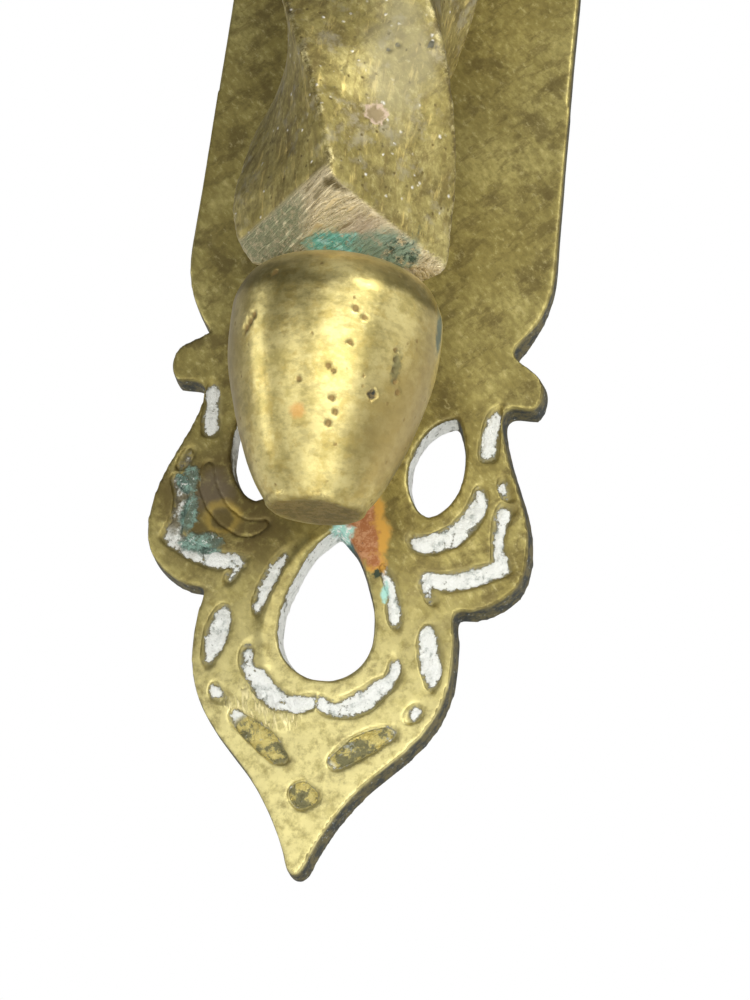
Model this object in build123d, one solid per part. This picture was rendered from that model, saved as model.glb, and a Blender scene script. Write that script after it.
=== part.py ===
from build123d import *
import math
import os

# Door knocker: a cast brass back plate with a pierced finial at each end, and a twisted arm that
# ends in an acorn. The arm hangs in a forked bracket and strikes an iron stud.
# Frame: the origin is the centre of the plate's back face, the door is at +Y, +Z is up.

# ---- back plate ----
PLATE_T = 4.0
WAIST_HALF_W = 24.3  # half the plate's width at its centre
NOTCH_Z = 52.0  # height of the shoulder notch above and below the centre
SHOULDER_DROP = -13.0  # the plate's straight side ends this far towards the centre from the notch
TIP_DROP = 71.5  # from the shoulder notch to the point of the finial
GROOVE_DEPTH = 0.9
HOLE_BACK_SCALE = 0.94  # the piercings are this much smaller at the plate's back

# ---- fixings: M6 shanks through the plate and the door, locked by a nut let into the plate ----
PAD_H = 2.5  # raised pad on the plate's front, over each let-in nut
SHANK_R = 3.0
SHANK_END = 50.0  # how far a shank stands out behind the plate
SHANK_HOLE_R = 3.3
RELIEF_R = 2.6  # thread relief just behind the plate
RELIEF_L = 1.0
SHANK_CHAMFER = 0.6
POCKET_R = 7.0
POCKET_D = 4.6
WASHER_R = 6.0
WASHER_T = 1.0
NUT_FLATS = 10.0
NUT_T = 3.2
THREAD_GAP = 0.02

# ---- strike stud ----
STRIKE_Z = -60.0
STRIKE_PAD_R = 8.4
STRIKE_HEAD_R = 5.5
STRIKE_HEAD_H = 3.6
STRIKE_EDGE_H = 1.4

# ---- hinge ----
HINGE_OFF = 15.0  # pin axis, in front of the plate's front face
HINGE_Z = 42.0
HINGE_PAD_R = 17.0
FLANGE_R = 15.0
FLANGE_T = 3.5
CHEEK_R = 12.0
BRACKET_W = 22.0
SLOT_W = 10.0
SLOT_R = 8.6
SLOT_FROM, SLOT_TO = -12.0, 158.0  # degrees, from straight down, round by the front
PIN_R = 2.5
PIN_FIT = 0.02  # in the bracket
PIN_RUNNING = 0.05  # in the arm's eye
PIN_HEAD_R = 4.5
PIN_HEAD_EDGE_H = 0.6
PIN_HEAD_H = 2.4
PIN_TAIL = 3.5
PIN_NUT_L = 4.8
PIN_NUT_HEX_L = 2.6
PIN_NUT_EDGE_L = 2.9  # the cap's straight edge ends here
PIN_NUT_FLATS = 8.0
EYE_WASHER_T = 0.7
EYE_WASHER_R = 6.0

# ---- arm, measured up its own axis from the acorn's widest section ----
LEAN = 3.0  # degrees: the arm's top leans away from the door
ACORN_OFF = 19.5  # acorn's centre, in front of the plate's front face
ACORN_Z = -59.0
ACORN_R = 13.2
ACORN_SEAT_R, ACORN_SEAT_S = 5.0, 7.9
ACORN_END_R, ACORN_END_S = 5.7, -23.4
BAR_FOOT_S = 8.3
BAR_L = 76.4
PLAIN_L = 9.2  # untwisted length at each end of the bar
CORNER_R = (13.6, 13.4, 13.6, 15.8)  # from the arm's axis to each arris
CORNER_DEG = (-94.0, -4.0, 86.0, 176.0)  # the arrises' directions at the foot
TWIST_DEG = -125.0  # left-handed
TWIST_EASE = 0.4  # how much slower the twist is at its ends
TWIST_STEPS = 16
# filed facets on the bar's foot: direction, distance from the axis, rise for each mm outwards
FOOT_FACETS = ((-75.0, 3.7, 0.75), (-125.0, 7.3, 1.9), (131.0, 7.4, 2.1), (41.0, 9.2, 1.6))
HEAD_FACET_R = 5.8
HEAD_FACET_RISE = 1.1
NECK_R = 4.6
BEAD_R = 7.4
BEAD_L = 3.4
BEAD_FILLET = 1.36
EYE_R = 8.0
EYE_T = 8.0
EYE_BAR_HALF_W = 4.3
EYE_FOOT_HALF_W = 5.2
STUD_R = 2.5
STUD_S = (-3.0, 20.0)
STUD_END_GAP = 0.5

PLATE_FRONT = -PLATE_T
PAD_FRONT = PLATE_FRONT - PAD_H
HINGE_Y = PLATE_FRONT - HINGE_OFF
ACORN_Y = PLATE_FRONT - ACORN_OFF
LEAN_SIN = math.sin(math.radians(LEAN))
LEAN_COS = math.cos(math.radians(LEAN))
HINGE_UP = HINGE_Z - ACORN_Z
HINGE_BACK = HINGE_Y - ACORN_Y
EYE_Y = HINGE_BACK * LEAN_COS + HINGE_UP * LEAN_SIN  # the eye's centre, in the arm's own frame
EYE_S = HINGE_UP * LEAN_COS - HINGE_BACK * LEAN_SIN

ON_FRONT = Rot(90, 0, 0)  # turns +Z to -Y, away from the door
ON_BACK = Rot(-90, 0, 0)  # turns +Z to +Y, into the door
ALONG_X = Rot(0, 90, 0)
ARM_PLACE = Pos(0, ACORN_Y, ACORN_Z) * Rot(LEAN, 0, 0)


def turned(outline):
    """A solid of revolution about Z, from the edges of half its section in the XZ plane."""
    return revolve(make_face(outline), Axis.Z)


def disc(radius, y_from, y_to, z):
    """A round slab with its axis along Y."""
    slab = ON_BACK * Cylinder(radius, y_to - y_from, align=(Align.CENTER, Align.CENTER, Align.MIN))
    return Pos(0, y_from, z) * slab


# ---- back plate ----


def drop(x, down):
    """A point of the lower finial: x, and how far below the shoulder notch."""
    return (x, -NOTCH_Z - down)


def all_four(edges):
    """The edges with their mirror images, left and right, and bottom and top."""
    lower = Curve(edges) + mirror(Curve(edges), Plane.YZ)
    return lower + mirror(lower, Plane.XZ)


def plate_outline():
    """The plate's outline, from its lower right quarter."""
    side = TangentArc((WAIST_HALF_W, 0), drop(24.8, SHOULDER_DROP), tangent=(0, -1))
    shoulder = ThreePointArc(drop(24.8, SHOULDER_DROP), drop(23.7, -5.8), drop(20.5, 0))
    ear = Spline(
        drop(20.5, 0),
        drop(22.9, 1.4),
        drop(24.8, 3.3),
        drop(25.1, 5.8),
        drop(23.8, 7.7),
        drop(21.8, 7.7),
        drop(20.1, 8.6),
    )
    lobe = Spline(
        drop(20.1, 8.6),
        drop(21.6, 14.5),
        drop(24.1, 20.8),
        drop(25.2, 26.5),
        drop(24.4, 31.3),
        drop(21.6, 34.4),
        drop(16.3, 35.8),
    )
    bowl = Spline(
        drop(16.3, 35.8),
        drop(17.1, 41.8),
        drop(16.4, 47.5),
        drop(13.9, 52.6),
        drop(8.0, 59.0),
        drop(4.4, 63.9),
        drop(1.5, 70.2),
    )
    point = ThreePointArc(drop(1.5, 70.2), drop(0.85, 71.1), drop(0, TIP_DROP))
    return make_face(all_four([side, shoulder, ear, lobe, bowl, point]).edges())


def side_hole():
    """The pear-shaped piercing beside the acorn, on the lower right."""
    return make_face(
        Spline(
            drop(13.9, 9.4),
            drop(10.7, 11.1),
            drop(8.4, 15.6),
            drop(8.7, 20.4),
            drop(11.2, 23.3),
            drop(14.2, 21.0),
            drop(15.4, 16.6),
            drop(14.9, 12.0),
            drop(13.9, 9.4),
        )
    )


def centre_hole():
    """The pear-shaped piercing on the plate's centre line."""
    side = Spline(
        drop(0, 25.9),
        drop(2.6, 28.5),
        drop(4.9, 33.3),
        drop(6.2, 40.2),
        tangents=[(1, -0.8), (0, -1)],
    )
    foot = ThreePointArc(drop(6.2, 40.2), drop(4.4, 44.6), drop(0, 46.4))
    right = Curve([side, foot])
    return make_face((right + mirror(right, Plane.YZ)).edges())


def piercing(face):
    """The cut for a hole through the plate, from its outline at the front."""
    towards_middle = face.center() * (1 - HOLE_BACK_SCALE)
    small = Pos(towards_middle) * scale(face, HOLE_BACK_SCALE)
    return loft([Plane.XZ * small, Plane.XZ.offset(PLATE_T) * face], ruled=True)


def groove(*stations):
    """A groove's outline, from (x, drop, width) stations along its middle."""
    left, right = [], []
    for number, (x, down, width) in enumerate(stations):
        before = stations[max(number - 1, 0)]
        after = stations[min(number + 1, len(stations) - 1)]
        run_x, run_down = after[0] - before[0], after[1] - before[1]
        reach = width / 2 / math.hypot(run_x, run_down)
        left.append(drop(x - run_down * reach, down + run_x * reach))
        right.append(drop(x + run_down * reach, down - run_x * reach))
    edges = [Spline(*left), Spline(*right)]
    for end in (0, -1):
        if stations[end][2]:
            edges.append(Line(left[end], right[end]))
    return make_face(Curve(edges).edges())


def right_grooves():
    """The cast grooves of the lower finial's right half."""
    return [
        # the dash above the lobe
        groove((19.3, 6.2, 0), (18.9, 8.5, 1.2), (18.5, 12.0, 1.8), (18.4, 15.0, 1.6)),
        # the crescent under the side hole
        groove((8.5, 25.1, 0), (11.5, 27.2, 1.9), (15.0, 25.7, 2.1), (17.8, 18.7, 1.1)),
        # down the lobe: a bead, and a bar with a knuckle at each end
        groove((20.3, 16.6, 0.5), (20.9, 18.1, 1.1), (21.9, 20.3, 0.5)),
        groove((21.8, 20.9, 2.0), (21.1, 22.6, 1.5), (20.9, 25.3, 1.1), (21.6, 29.6, 2.5)),
        # along the lobe's foot, ending in a tip
        groove((23.3, 29.4, 0.4), (20.4, 30.0, 1.6), (16.2, 31.6, 2.1), (9.8, 30.0, 0)),
        groove((11.8, 31.9, 1.0), (13.0, 34.0, 0.9), (13.8, 35.4, 0.8)),
        # beside the centre hole
        groove((4.4, 27.0, 0), (7.1, 32.0, 1.3), (8.5, 36.0, 1.4), (9.2, 39.6, 0.5)),
        groove((9.0, 41.6, 0.4), (9.5, 44.4, 1.3), (8.4, 47.2, 0.6)),
        # the leaf on the bowl's shoulder, and a small one under it
        groove((13.2, 37.9, 0.9), (13.7, 41.2, 2.5), (14.2, 43.8, 1.9), (14.4, 46.6, 0)),
        groove((13.5, 47.9, 0), (12.7, 49.3, 1.5), (11.4, 50.4, 0.3)),
        # the scalloped band under the centre hole
        groove((8.5, 45.6, 0.6), (7.0, 47.6, 2.4), (4.4, 49.4, 2.3), (0, 48.8, 1.2)),
        # the slanted bar
        groove((10.6, 51.8, 1.1), (7.6, 53.4, 2.2), (4.2, 56.0, 2.1), (2.9, 57.2, 1.2)),
        # half of the diamond above the point
        groove((0, 59.5, 0), (0, 61.0, 3.6), (0, 62.9, 0)),
    ]


def back_plate():
    """The plate with its piercings and grooves, the two raised pads and the let-in pockets."""
    plate = extrude(Plane.XZ * plate_outline(), PLATE_T)
    plate += disc(HINGE_PAD_R, PAD_FRONT, PLATE_FRONT / 2, HINGE_Z)
    plate += disc(STRIKE_PAD_R, PAD_FRONT, PLATE_FRONT / 2, STRIKE_Z)
    cuts = [piercing(side_hole()), piercing(centre_hole())]
    floor = Plane.XZ.offset(PLATE_T - GROOVE_DEPTH)
    cuts += [extrude(floor * face, GROOVE_DEPTH) for face in right_grooves()]
    lower = cuts + [mirror(cut, Plane.YZ) for cut in cuts]
    upper = [mirror(cut, Plane.XY) for cut in lower]
    plate -= lower + upper
    for z in (HINGE_Z, STRIKE_Z):
        plate -= disc(SHANK_HOLE_R, PAD_FRONT, 0, z)
        plate -= disc(POCKET_R, -POCKET_D, 0, z)
    return plate


# ---- fixings ----


def shank(y_from, z):
    """A threaded shank from y_from to its free end, with a relief just behind the plate."""
    tip = SHANK_R - SHANK_CHAMFER
    length = SHANK_END - y_from
    relief = -y_from
    outline = Polyline(
        (0, 0, 0),
        (SHANK_R, 0, 0),
        (SHANK_R, 0, relief),
        (RELIEF_R, 0, relief),
        (RELIEF_R, 0, relief + RELIEF_L),
        (SHANK_R, 0, relief + RELIEF_L),
        (SHANK_R, 0, length - SHANK_CHAMFER),
        (tip, 0, length),
        (0, 0, length),
        close=True,
    )
    return Pos(0, y_from, z) * ON_BACK * turned(outline)


def lock_washer(z):
    """The washer at the bottom of a pocket."""
    hole = disc(SHANK_R + THREAD_GAP, -POCKET_D, WASHER_T - POCKET_D, z)
    return disc(WASHER_R, -POCKET_D, WASHER_T - POCKET_D, z) - hole


def hexagon(flats, length):
    """A hexagonal prism up Z from the origin."""
    return extrude(RegularPolygon(flats / 2, 6, major_radius=False), length)


def lock_nut(z):
    """The thin nut let into the plate's back."""
    seat = WASHER_T - POCKET_D
    nut = Pos(0, seat, z) * ON_BACK * hexagon(NUT_FLATS, NUT_T)
    return nut - disc(SHANK_R + THREAD_GAP, seat, seat + NUT_T, z)


def domed_head(radius, edge, height):
    """A head on the XY plane: a short cylinder under a cap of a sphere."""
    rise = height - edge
    sphere_r = (radius**2 + rise**2) / (2 * rise)
    centre_z = height - sphere_r
    half_angle = math.asin(radius / sphere_r) / 2
    middle = (sphere_r * math.sin(half_angle), 0, centre_z + sphere_r * math.cos(half_angle))
    foot = Line((0, 0, 0), (radius, 0, 0))
    wall = Line((radius, 0, 0), (radius, 0, edge))
    dome = ThreePointArc((radius, 0, edge), middle, (0, 0, height))
    axis = Line((0, 0, height), (0, 0, 0))
    return turned([foot, wall, dome, axis])


def strike_stud():
    """The iron stud that the acorn strikes."""
    head = domed_head(STRIKE_HEAD_R, STRIKE_EDGE_H, STRIKE_HEAD_H)
    return Pos(0, PAD_FRONT, STRIKE_Z) * ON_FRONT * head + shank(PAD_FRONT, STRIKE_Z)


# ---- hinge ----


def across_x(profile, width):
    """A slab through a profile in the YZ plane, centred on x = 0."""
    return extrude(Plane.YZ * profile, width / 2, both=True)


def slot_wedge():
    """The sector that the arm's neck swings through, in the YZ plane."""
    reach = CHEEK_R * 2
    rim = []
    for part in range(4):
        angle = math.radians(SLOT_FROM + (SLOT_TO - SLOT_FROM) * part / 3)
        rim.append((HINGE_Y - reach * math.sin(angle), HINGE_Z - reach * math.cos(angle)))
    return make_face(Polyline((HINGE_Y, HINGE_Z), *rim, close=True))


def hinge_bracket():
    """The forked bracket, hooded at the top, with its flange and shank."""
    depth = PAD_FRONT - HINGE_Y
    stem = Pos(HINGE_Y + depth / 2, HINGE_Z) * Rectangle(depth, CHEEK_R * 2)
    cheeks = across_x(Pos(HINGE_Y, HINGE_Z) * Circle(CHEEK_R) + stem, BRACKET_W)
    bracket = cheeks + disc(FLANGE_R, PAD_FRONT - FLANGE_T, PAD_FRONT, HINGE_Z)
    slot = across_x(Pos(HINGE_Y, HINGE_Z) * Circle(SLOT_R), SLOT_W)
    bracket -= slot + across_x(slot_wedge(), SLOT_W)
    bracket -= Pos(0, HINGE_Y, HINGE_Z) * ALONG_X * Cylinder(PIN_R + PIN_FIT, BRACKET_W)
    return bracket + shank(PAD_FRONT - FLANGE_T / 2, HINGE_Z)


def hinge_pin():
    """The pin, with a domed head on the left and its thread standing out on the right."""
    length = BRACKET_W + PIN_TAIL
    rod = Cylinder(PIN_R, length, align=(Align.CENTER, Align.CENTER, Align.MIN))
    head = Rot(180, 0, 0) * domed_head(PIN_HEAD_R, PIN_HEAD_EDGE_H, PIN_HEAD_H)
    return Pos(-BRACKET_W / 2, HINGE_Y, HINGE_Z) * ALONG_X * (rod + head)


def pin_nut():
    """The domed nut on the pin's right end."""
    cap = domed_head(PIN_NUT_FLATS / 2, PIN_NUT_EDGE_L, PIN_NUT_L)
    nut = hexagon(PIN_NUT_FLATS, PIN_NUT_HEX_L) + cap
    well = Cylinder(
        PIN_R + THREAD_GAP,
        PIN_TAIL + THREAD_GAP,
        align=(Align.CENTER, Align.CENTER, Align.MIN),
    )
    return Pos(BRACKET_W / 2, HINGE_Y, HINGE_Z) * ALONG_X * (nut - well)


def eye_washers():
    """A thin washer each side of the arm's eye."""
    ring = Cylinder(EYE_WASHER_R, EYE_WASHER_T) - Cylinder(PIN_R + PIN_RUNNING, EYE_WASHER_T)
    out = (SLOT_W - EYE_WASHER_T) / 2
    return [Pos(side * out, HINGE_Y, HINGE_Z) * ALONG_X * ring for side in (-1, 1)]


# ---- arm ----


def square(s, turn):
    """The bar's section across the arm's axis at s, turned by some degrees from the foot's."""
    corners = []
    for radius, azimuth in zip(CORNER_R, CORNER_DEG):
        angle = math.radians(azimuth + turn)
        corners.append((radius * math.cos(angle), radius * math.sin(angle), s))
    return make_face(Polyline(*corners, close=True))


def filed(bar, azimuth, foot_r, rise, end_s, up):
    """The bar with one facet filed on its end at end_s; up is 1 at the head and -1 at the foot."""
    angle = math.radians(azimuth)
    out = Vector(math.cos(angle), math.sin(angle), 0)
    facet = Plane(origin=out * foot_r + Vector(0, 0, end_s), z_dir=out * rise + Vector(0, 0, up))
    return split(bar, bisect_by=facet, keep=Keep.BOTTOM)


def twisted_bar():
    """The square bar, twisted left-handed between two plain ends with filed facets."""
    head_s = BAR_FOOT_S + BAR_L
    twist_l = BAR_L - PLAIN_L * 2
    sections = []
    for step in range(TWIST_STEPS + 1):
        along = step / TWIST_STEPS
        eased = along - TWIST_EASE * math.sin(2 * math.pi * along) / (2 * math.pi)
        s = BAR_FOOT_S + PLAIN_L + twist_l * along
        sections.append(square(s, TWIST_DEG * eased))
    bar = extrude(square(BAR_FOOT_S, 0), PLAIN_L) + loft(sections)
    bar += extrude(square(head_s - PLAIN_L, TWIST_DEG), PLAIN_L)
    for azimuth, foot_r, rise in FOOT_FACETS:
        bar = filed(bar, azimuth, foot_r, rise, BAR_FOOT_S, -1)
    for azimuth in CORNER_DEG:
        bar = filed(bar, azimuth + TWIST_DEG + 45, HEAD_FACET_R, HEAD_FACET_RISE, head_s, 1)
    return bar


def round_along(radius, s_from, s_to):
    """A cylinder on the arm's axis."""
    rod = Cylinder(radius, s_to - s_from, align=(Align.CENTER, Align.CENTER, Align.MIN))
    return Pos(0, 0, s_from) * rod


def eye():
    """The flat eye and its bar, which leans back from the arm's axis to the pin."""
    foot_s = BAR_FOOT_S + BAR_L + BEAD_L / 2
    run_y, run_s = EYE_Y, EYE_S - foot_s
    run = math.hypot(run_y, run_s)
    side_y, side_s = run_s / run, -run_y / run
    bar = make_face(
        Polyline(
            (EYE_FOOT_HALF_W * side_y, foot_s + EYE_FOOT_HALF_W * side_s),
            (EYE_Y + EYE_BAR_HALF_W * side_y, EYE_S + EYE_BAR_HALF_W * side_s),
            (EYE_Y - EYE_BAR_HALF_W * side_y, EYE_S - EYE_BAR_HALF_W * side_s),
            (-EYE_FOOT_HALF_W * side_y, foot_s - EYE_FOOT_HALF_W * side_s),
            close=True,
        )
    )
    return across_x(bar + Pos(EYE_Y, EYE_S) * Circle(EYE_R), EYE_T)


def knocker_arm():
    """The arm: twisted bar, necks, bead and eye, bored for the pin and the acorn's stud."""
    bead = Pos(0, 0, BAR_FOOT_S + BAR_L + BEAD_L / 2) * Cylinder(BEAD_R, BEAD_L)
    bead = fillet(bead.edges().filter_by(GeomType.CIRCLE), BEAD_FILLET)
    arm = twisted_bar() + bead + eye()
    arm += round_along(NECK_R, ACORN_SEAT_S, BAR_FOOT_S + PLAIN_L)
    arm -= round_along(STUD_R + THREAD_GAP, ACORN_SEAT_S, STUD_S[1] + STUD_END_GAP)
    hole = Cylinder(PIN_R + PIN_RUNNING, EYE_T)
    arm -= Pos(0, EYE_Y, EYE_S) * ALONG_X * hole
    return ARM_PLACE * arm


def acorn_stud():
    """The steel stud that joins the acorn to the arm."""
    return ARM_PLACE * round_along(STUD_R, *STUD_S)


def acorn():
    """The acorn: a domed shoulder above its widest section, and a taper to a flat end."""
    rim_s = ACORN_END_S + 0.9
    dome = Spline(
        (ACORN_R, 0, 0),
        (12.9, 0, 2.8),
        (11.4, 0, 5.6),
        (8.6, 0, 7.3),
        (ACORN_SEAT_R, 0, ACORN_SEAT_S),
        tangents=[(0, 0, 1), (-1, 0, 0.1)],
    )
    seat = Line((ACORN_SEAT_R, 0, ACORN_SEAT_S), (0, 0, ACORN_SEAT_S))
    axis = Line((0, 0, ACORN_SEAT_S), (0, 0, ACORN_END_S))
    end = Line((0, 0, ACORN_END_S), (ACORN_END_R, 0, ACORN_END_S))
    rim = ThreePointArc(
        (ACORN_END_R, 0, ACORN_END_S),
        (ACORN_END_R + 0.5, 0, ACORN_END_S + 0.3),
        (ACORN_END_R + 0.6, 0, rim_s),
    )
    flank = Spline(
        (ACORN_END_R + 0.6, 0, rim_s),
        (8.2, 0, -19.6),
        (10.3, 0, -14.8),
        (11.9, 0, -9.6),
        (ACORN_R, 0, 0),
        tangents=[(0.5, 0, 0.9), (0, 0, 1)],
    )
    body = turned([seat, axis, end, rim, flank, dome])
    body -= round_along(STUD_R + THREAD_GAP, STUD_S[0] - STUD_END_GAP, ACORN_SEAT_S)
    return ARM_PLACE * body


NODES = {
    "back_plate": back_plate(),
    "hinge_bracket": hinge_bracket(),
    "bracket_washer": lock_washer(HINGE_Z),
    "bracket_lock_nut": lock_nut(HINGE_Z),
    "hinge_pin": hinge_pin(),
    "pin_nut": pin_nut(),
    "eye_washers": Compound(eye_washers()),
    "strike_stud": strike_stud(),
    "strike_washer": lock_washer(STRIKE_Z),
    "strike_lock_nut": lock_nut(STRIKE_Z),
    "knocker_arm": knocker_arm(),
    "acorn_stud": acorn_stud(),
    "acorn": acorn(),
}

os.makedirs("parts", exist_ok=True)
for name, shape in NODES.items():
    export_step(shape, f"parts/{name}.step")
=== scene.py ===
import itertools
import math

import bmesh
import bpy
import numpy as np
from mathutils import Matrix, Vector


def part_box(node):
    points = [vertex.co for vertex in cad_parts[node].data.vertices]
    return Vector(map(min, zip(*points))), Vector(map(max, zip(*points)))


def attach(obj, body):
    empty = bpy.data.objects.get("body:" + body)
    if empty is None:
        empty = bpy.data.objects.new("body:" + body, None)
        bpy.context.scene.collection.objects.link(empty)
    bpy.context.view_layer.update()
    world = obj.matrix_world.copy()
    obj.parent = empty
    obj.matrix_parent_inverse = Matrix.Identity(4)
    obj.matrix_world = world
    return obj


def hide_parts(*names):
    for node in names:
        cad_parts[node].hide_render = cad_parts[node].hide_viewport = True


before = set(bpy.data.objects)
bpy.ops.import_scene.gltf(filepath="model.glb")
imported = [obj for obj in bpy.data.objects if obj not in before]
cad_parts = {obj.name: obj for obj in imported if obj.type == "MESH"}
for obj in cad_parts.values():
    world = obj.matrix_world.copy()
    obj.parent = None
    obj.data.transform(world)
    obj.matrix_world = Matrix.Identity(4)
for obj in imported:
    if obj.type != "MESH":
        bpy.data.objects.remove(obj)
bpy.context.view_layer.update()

# The looks of a door knocker in aged brass: a cast plate with worn grooves, a twisted arm with a
# polished acorn, and its forked bracket, iron stud and steel fixings.
# Shapes are worked out in millimetres in the CAD part's frame, and MM turns them into metres.
MM = 0.001


def mm_box(node):
    """A CAD node's lowest and highest corners, in millimetres."""
    low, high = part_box(node)
    return np.array(low) / MM, np.array(high) / MM


def mm_centre(node):
    """The centre of a CAD node's box, in millimetres."""
    low, high = mm_box(node)
    return (low + high) / 2


VOXEL = 0.4  # face size of the cast pieces' meshes

# ---- plate ----
PLATE_FRONT = -4.0
FINIAL_DROP = 71.5  # from the shoulder notch to the finial's point
GROOVE_DEPTH = 0.9
GROOVE_FILL = 0.6  # how much of a groove the old polish has filled
GROOVE_WANDER = 0.48  # how far the grooves' edges wander
RIDGE_H, RIDGE_W = 0.30, 0.6  # the ridge round the middle piercing
FINIAL_SKEW = 0.028  # the lower finial's left side sits higher than its right by this much per mm
DRAFT = 0.65  # how far the finials' front edge is filed back from their outline
BACK_KEEP = 0.62  # share of the plate's faces left after thinning out its flat back

# ---- arm, measured up its own axis from the acorn's widest section ----
LEAN = math.radians(3.0)
STUD_MIDDLE_S = 8.5
ACORN_R = 13.2
ACORN_TOP_S, ACORN_END_S = 7.9, -23.4
ACORN_SEAT_R, ACORN_END_R = 5.0, 5.7
STUD_HOLE_R, STUD_HOLE_S = 2.52, -3.5
FOOT_S, HEAD_S = 8.3, 84.7
PLAIN_L = 9.2
NECK_R = 4.6
CORNERS = ((-94.0, 13.6), (-4.0, 13.4), (86.0, 13.6), (176.0, 15.8))  # direction, distance
TWIST = math.radians(-125.0)
TWIST_EASE = 0.4
ARRIS_SHARPNESS = 30.0
# filed facets: direction, distance from the axis at the bar's end, rise for each mm outwards
FOOT_FACETS = ((-75.0, 3.7, 0.75), (-125.0, 7.3, 1.9), (131.0, 7.4, 2.1), (41.0, 9.2, 1.6))
HEAD_FACET_R, HEAD_FACET_RISE = 5.8, 1.1

# ---- fixings ----
SHANK_R = 3.0
PITCH = 1.0
THREAD_DEPTH = 0.6
RELIEF_R, RELIEF_L = 2.6, 1.0
TIP_CHAMFER = 0.6
STRIKE_EDGE_H = 1.4
NUT_BORE_R = 3.02
NUT_BORE_CHAMFER = 0.25
PIN_R = 2.5
PIN_BORE_R = 2.58  # the bore in the arm's eye
PIN_ROOT_L = 6.0  # from the underside of the pin's head to the left eye washer
PIN_HEAD_EDGE_H = 0.6
PIN_TIP_CHAMFER = 0.5
CAP_BORE_R = 2.52
CAP_HEX_L, CAP_EDGE_L = 2.6, 2.9
EYE_WASHER_T = 0.7
EYE_WASHER_BORE_R = 2.55

WELD = 1e-6  # metres
TURN = 2 * math.pi
EVEN = (1, 1, 1)  # no stretch

# ---- colours, linear ----
BRASS = (0.56, 0.48, 0.175)
BRIGHT_BRASS = (0.84, 0.75, 0.36)
OLIVE = (0.36, 0.30, 0.10)
UMBER = (0.17, 0.13, 0.05)
NEAR_BLACK = (0.030, 0.034, 0.026)
DARK_OLIVE = (0.20, 0.165, 0.06)
GOLDEN = (0.84, 0.72, 0.28)
CHALK = (0.93, 0.94, 0.88)
CHALK_SHADE = (0.50, 0.53, 0.48)
VERDIGRIS = (0.10, 0.30, 0.24)
PALE_VERDIGRIS = (0.42, 0.72, 0.62)
RUST = (0.36, 0.13, 0.04)
RUST_FRINGE = (0.66, 0.36, 0.06)
IRON = (0.16, 0.15, 0.14)
STEEL = (0.52, 0.52, 0.50)

plate_low, plate_high = mm_box("back_plate")
NOTCH_Z = plate_low[2] + FINIAL_DROP
PAD_FRONT = plate_low[1]
ARM_UP = np.array((0.0, -math.sin(LEAN), math.cos(LEAN)))
ARM_TURN = np.array(Matrix.Rotation(LEAN, 3, "X"))
ARM_FOOT = mm_centre("acorn_stud") - ARM_UP * STUD_MIDDLE_S
TO_BACK = np.array(Matrix.Rotation(-TURN / 4, 3, "X"))  # turns +Z to +Y, into the door
TO_RIGHT = np.array(Matrix.Rotation(TURN / 4, 3, "Y"))


def drop(x, down, y=PLATE_FRONT):
    """A point of the lower finial: x, and how far below the shoulder notch."""
    return np.array((x, y, NOTCH_Z - down))


def on_arm(azimuth, radius, s):
    """A point by its direction from the arm's axis, its distance from it and its height along it."""
    angle = math.radians(azimuth)
    local = np.array((radius * math.cos(angle), radius * math.sin(angle), s))
    return ARM_TURN @ local + ARM_FOOT


# ---- repeatable noise ----


def smooth(low, high, value):
    """0 at low and below, 1 at high and above, eased between."""
    share = np.clip((value - low) / (high - low), 0, 1)
    return share * share * (3 - 2 * share)


def lattice(cells, seed):
    """A repeatable number from 0 to 1 for each whole-number cell."""
    mixed = cells @ np.array((73856093, 19349663, 83492791)) + seed * 2654435761
    mixed = (mixed ^ (mixed >> 13)) * 1274126177
    return ((mixed ^ (mixed >> 16)) & 0xFFFFFF) / 0xFFFFFF


def noise(points, size, seed):
    """Smooth noise from -1 to 1 with lumps about size mm apart."""
    tilted = points @ np.array(Matrix.Rotation(0.7 + seed, 3, Vector((1, 2, 3)))) / size
    cells = np.floor(tilted).astype(np.int64)
    part = tilted - cells
    ease = part * part * (3 - 2 * part)
    total = 0
    for corner in itertools.product((0, 1), repeat=3):
        weight = np.prod(np.where(corner, ease, 1 - ease), axis=-1)
        total = total + weight * lattice(cells + corner, seed)
    return total * 2 - 1


def fractal(points, size, seed, octaves=3):
    """Noise with finer noise added, each octave half the size and half as strong."""
    total = 0
    for octave in range(octaves):
        total = total + noise(points, size / 2**octave, seed + octave) / 2**octave
    return total


def pits(points, size, radius, share, seed):
    """0 to 1: how deep in a round pit each point is; a share of the cells of size mm has a pit."""
    cells = np.floor(points / size).astype(np.int64)
    depth = np.zeros(points.shape[:-1])
    for step in itertools.product((-1, 0, 1), repeat=3):
        cell = cells + step
        middle = np.stack([lattice(cell, seed + axis) for axis in range(3)], axis=-1)
        away = np.linalg.norm(points - (cell + middle) * size, axis=-1)
        reach = radius * (0.5 + lattice(cell, seed + 4))
        here = lattice(cell, seed + 3) < share
        depth = np.maximum(depth, here * (1 - smooth(0.2, 1.0, away / reach)))
    return depth


# ---- meshes ----


def points_of(mesh):
    """A mesh's vertices, in millimetres."""
    flat = np.empty(len(mesh.vertices) * 3, np.float32)
    mesh.vertices.foreach_get("co", flat)
    return flat.reshape(-1, 3).astype(float) / MM


def normals_of(mesh):
    """A mesh's vertex normals."""
    flat = np.empty(len(mesh.vertices) * 3, np.float32)
    mesh.vertex_normals.foreach_get("vector", flat)
    return flat.reshape(-1, 3).astype(float)


def edges_of(mesh):
    """The two vertices of each edge."""
    flat = np.empty(len(mesh.edges) * 2, np.int32)
    mesh.edges.foreach_get("vertices", flat)
    return flat.reshape(-1, 2)


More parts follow.
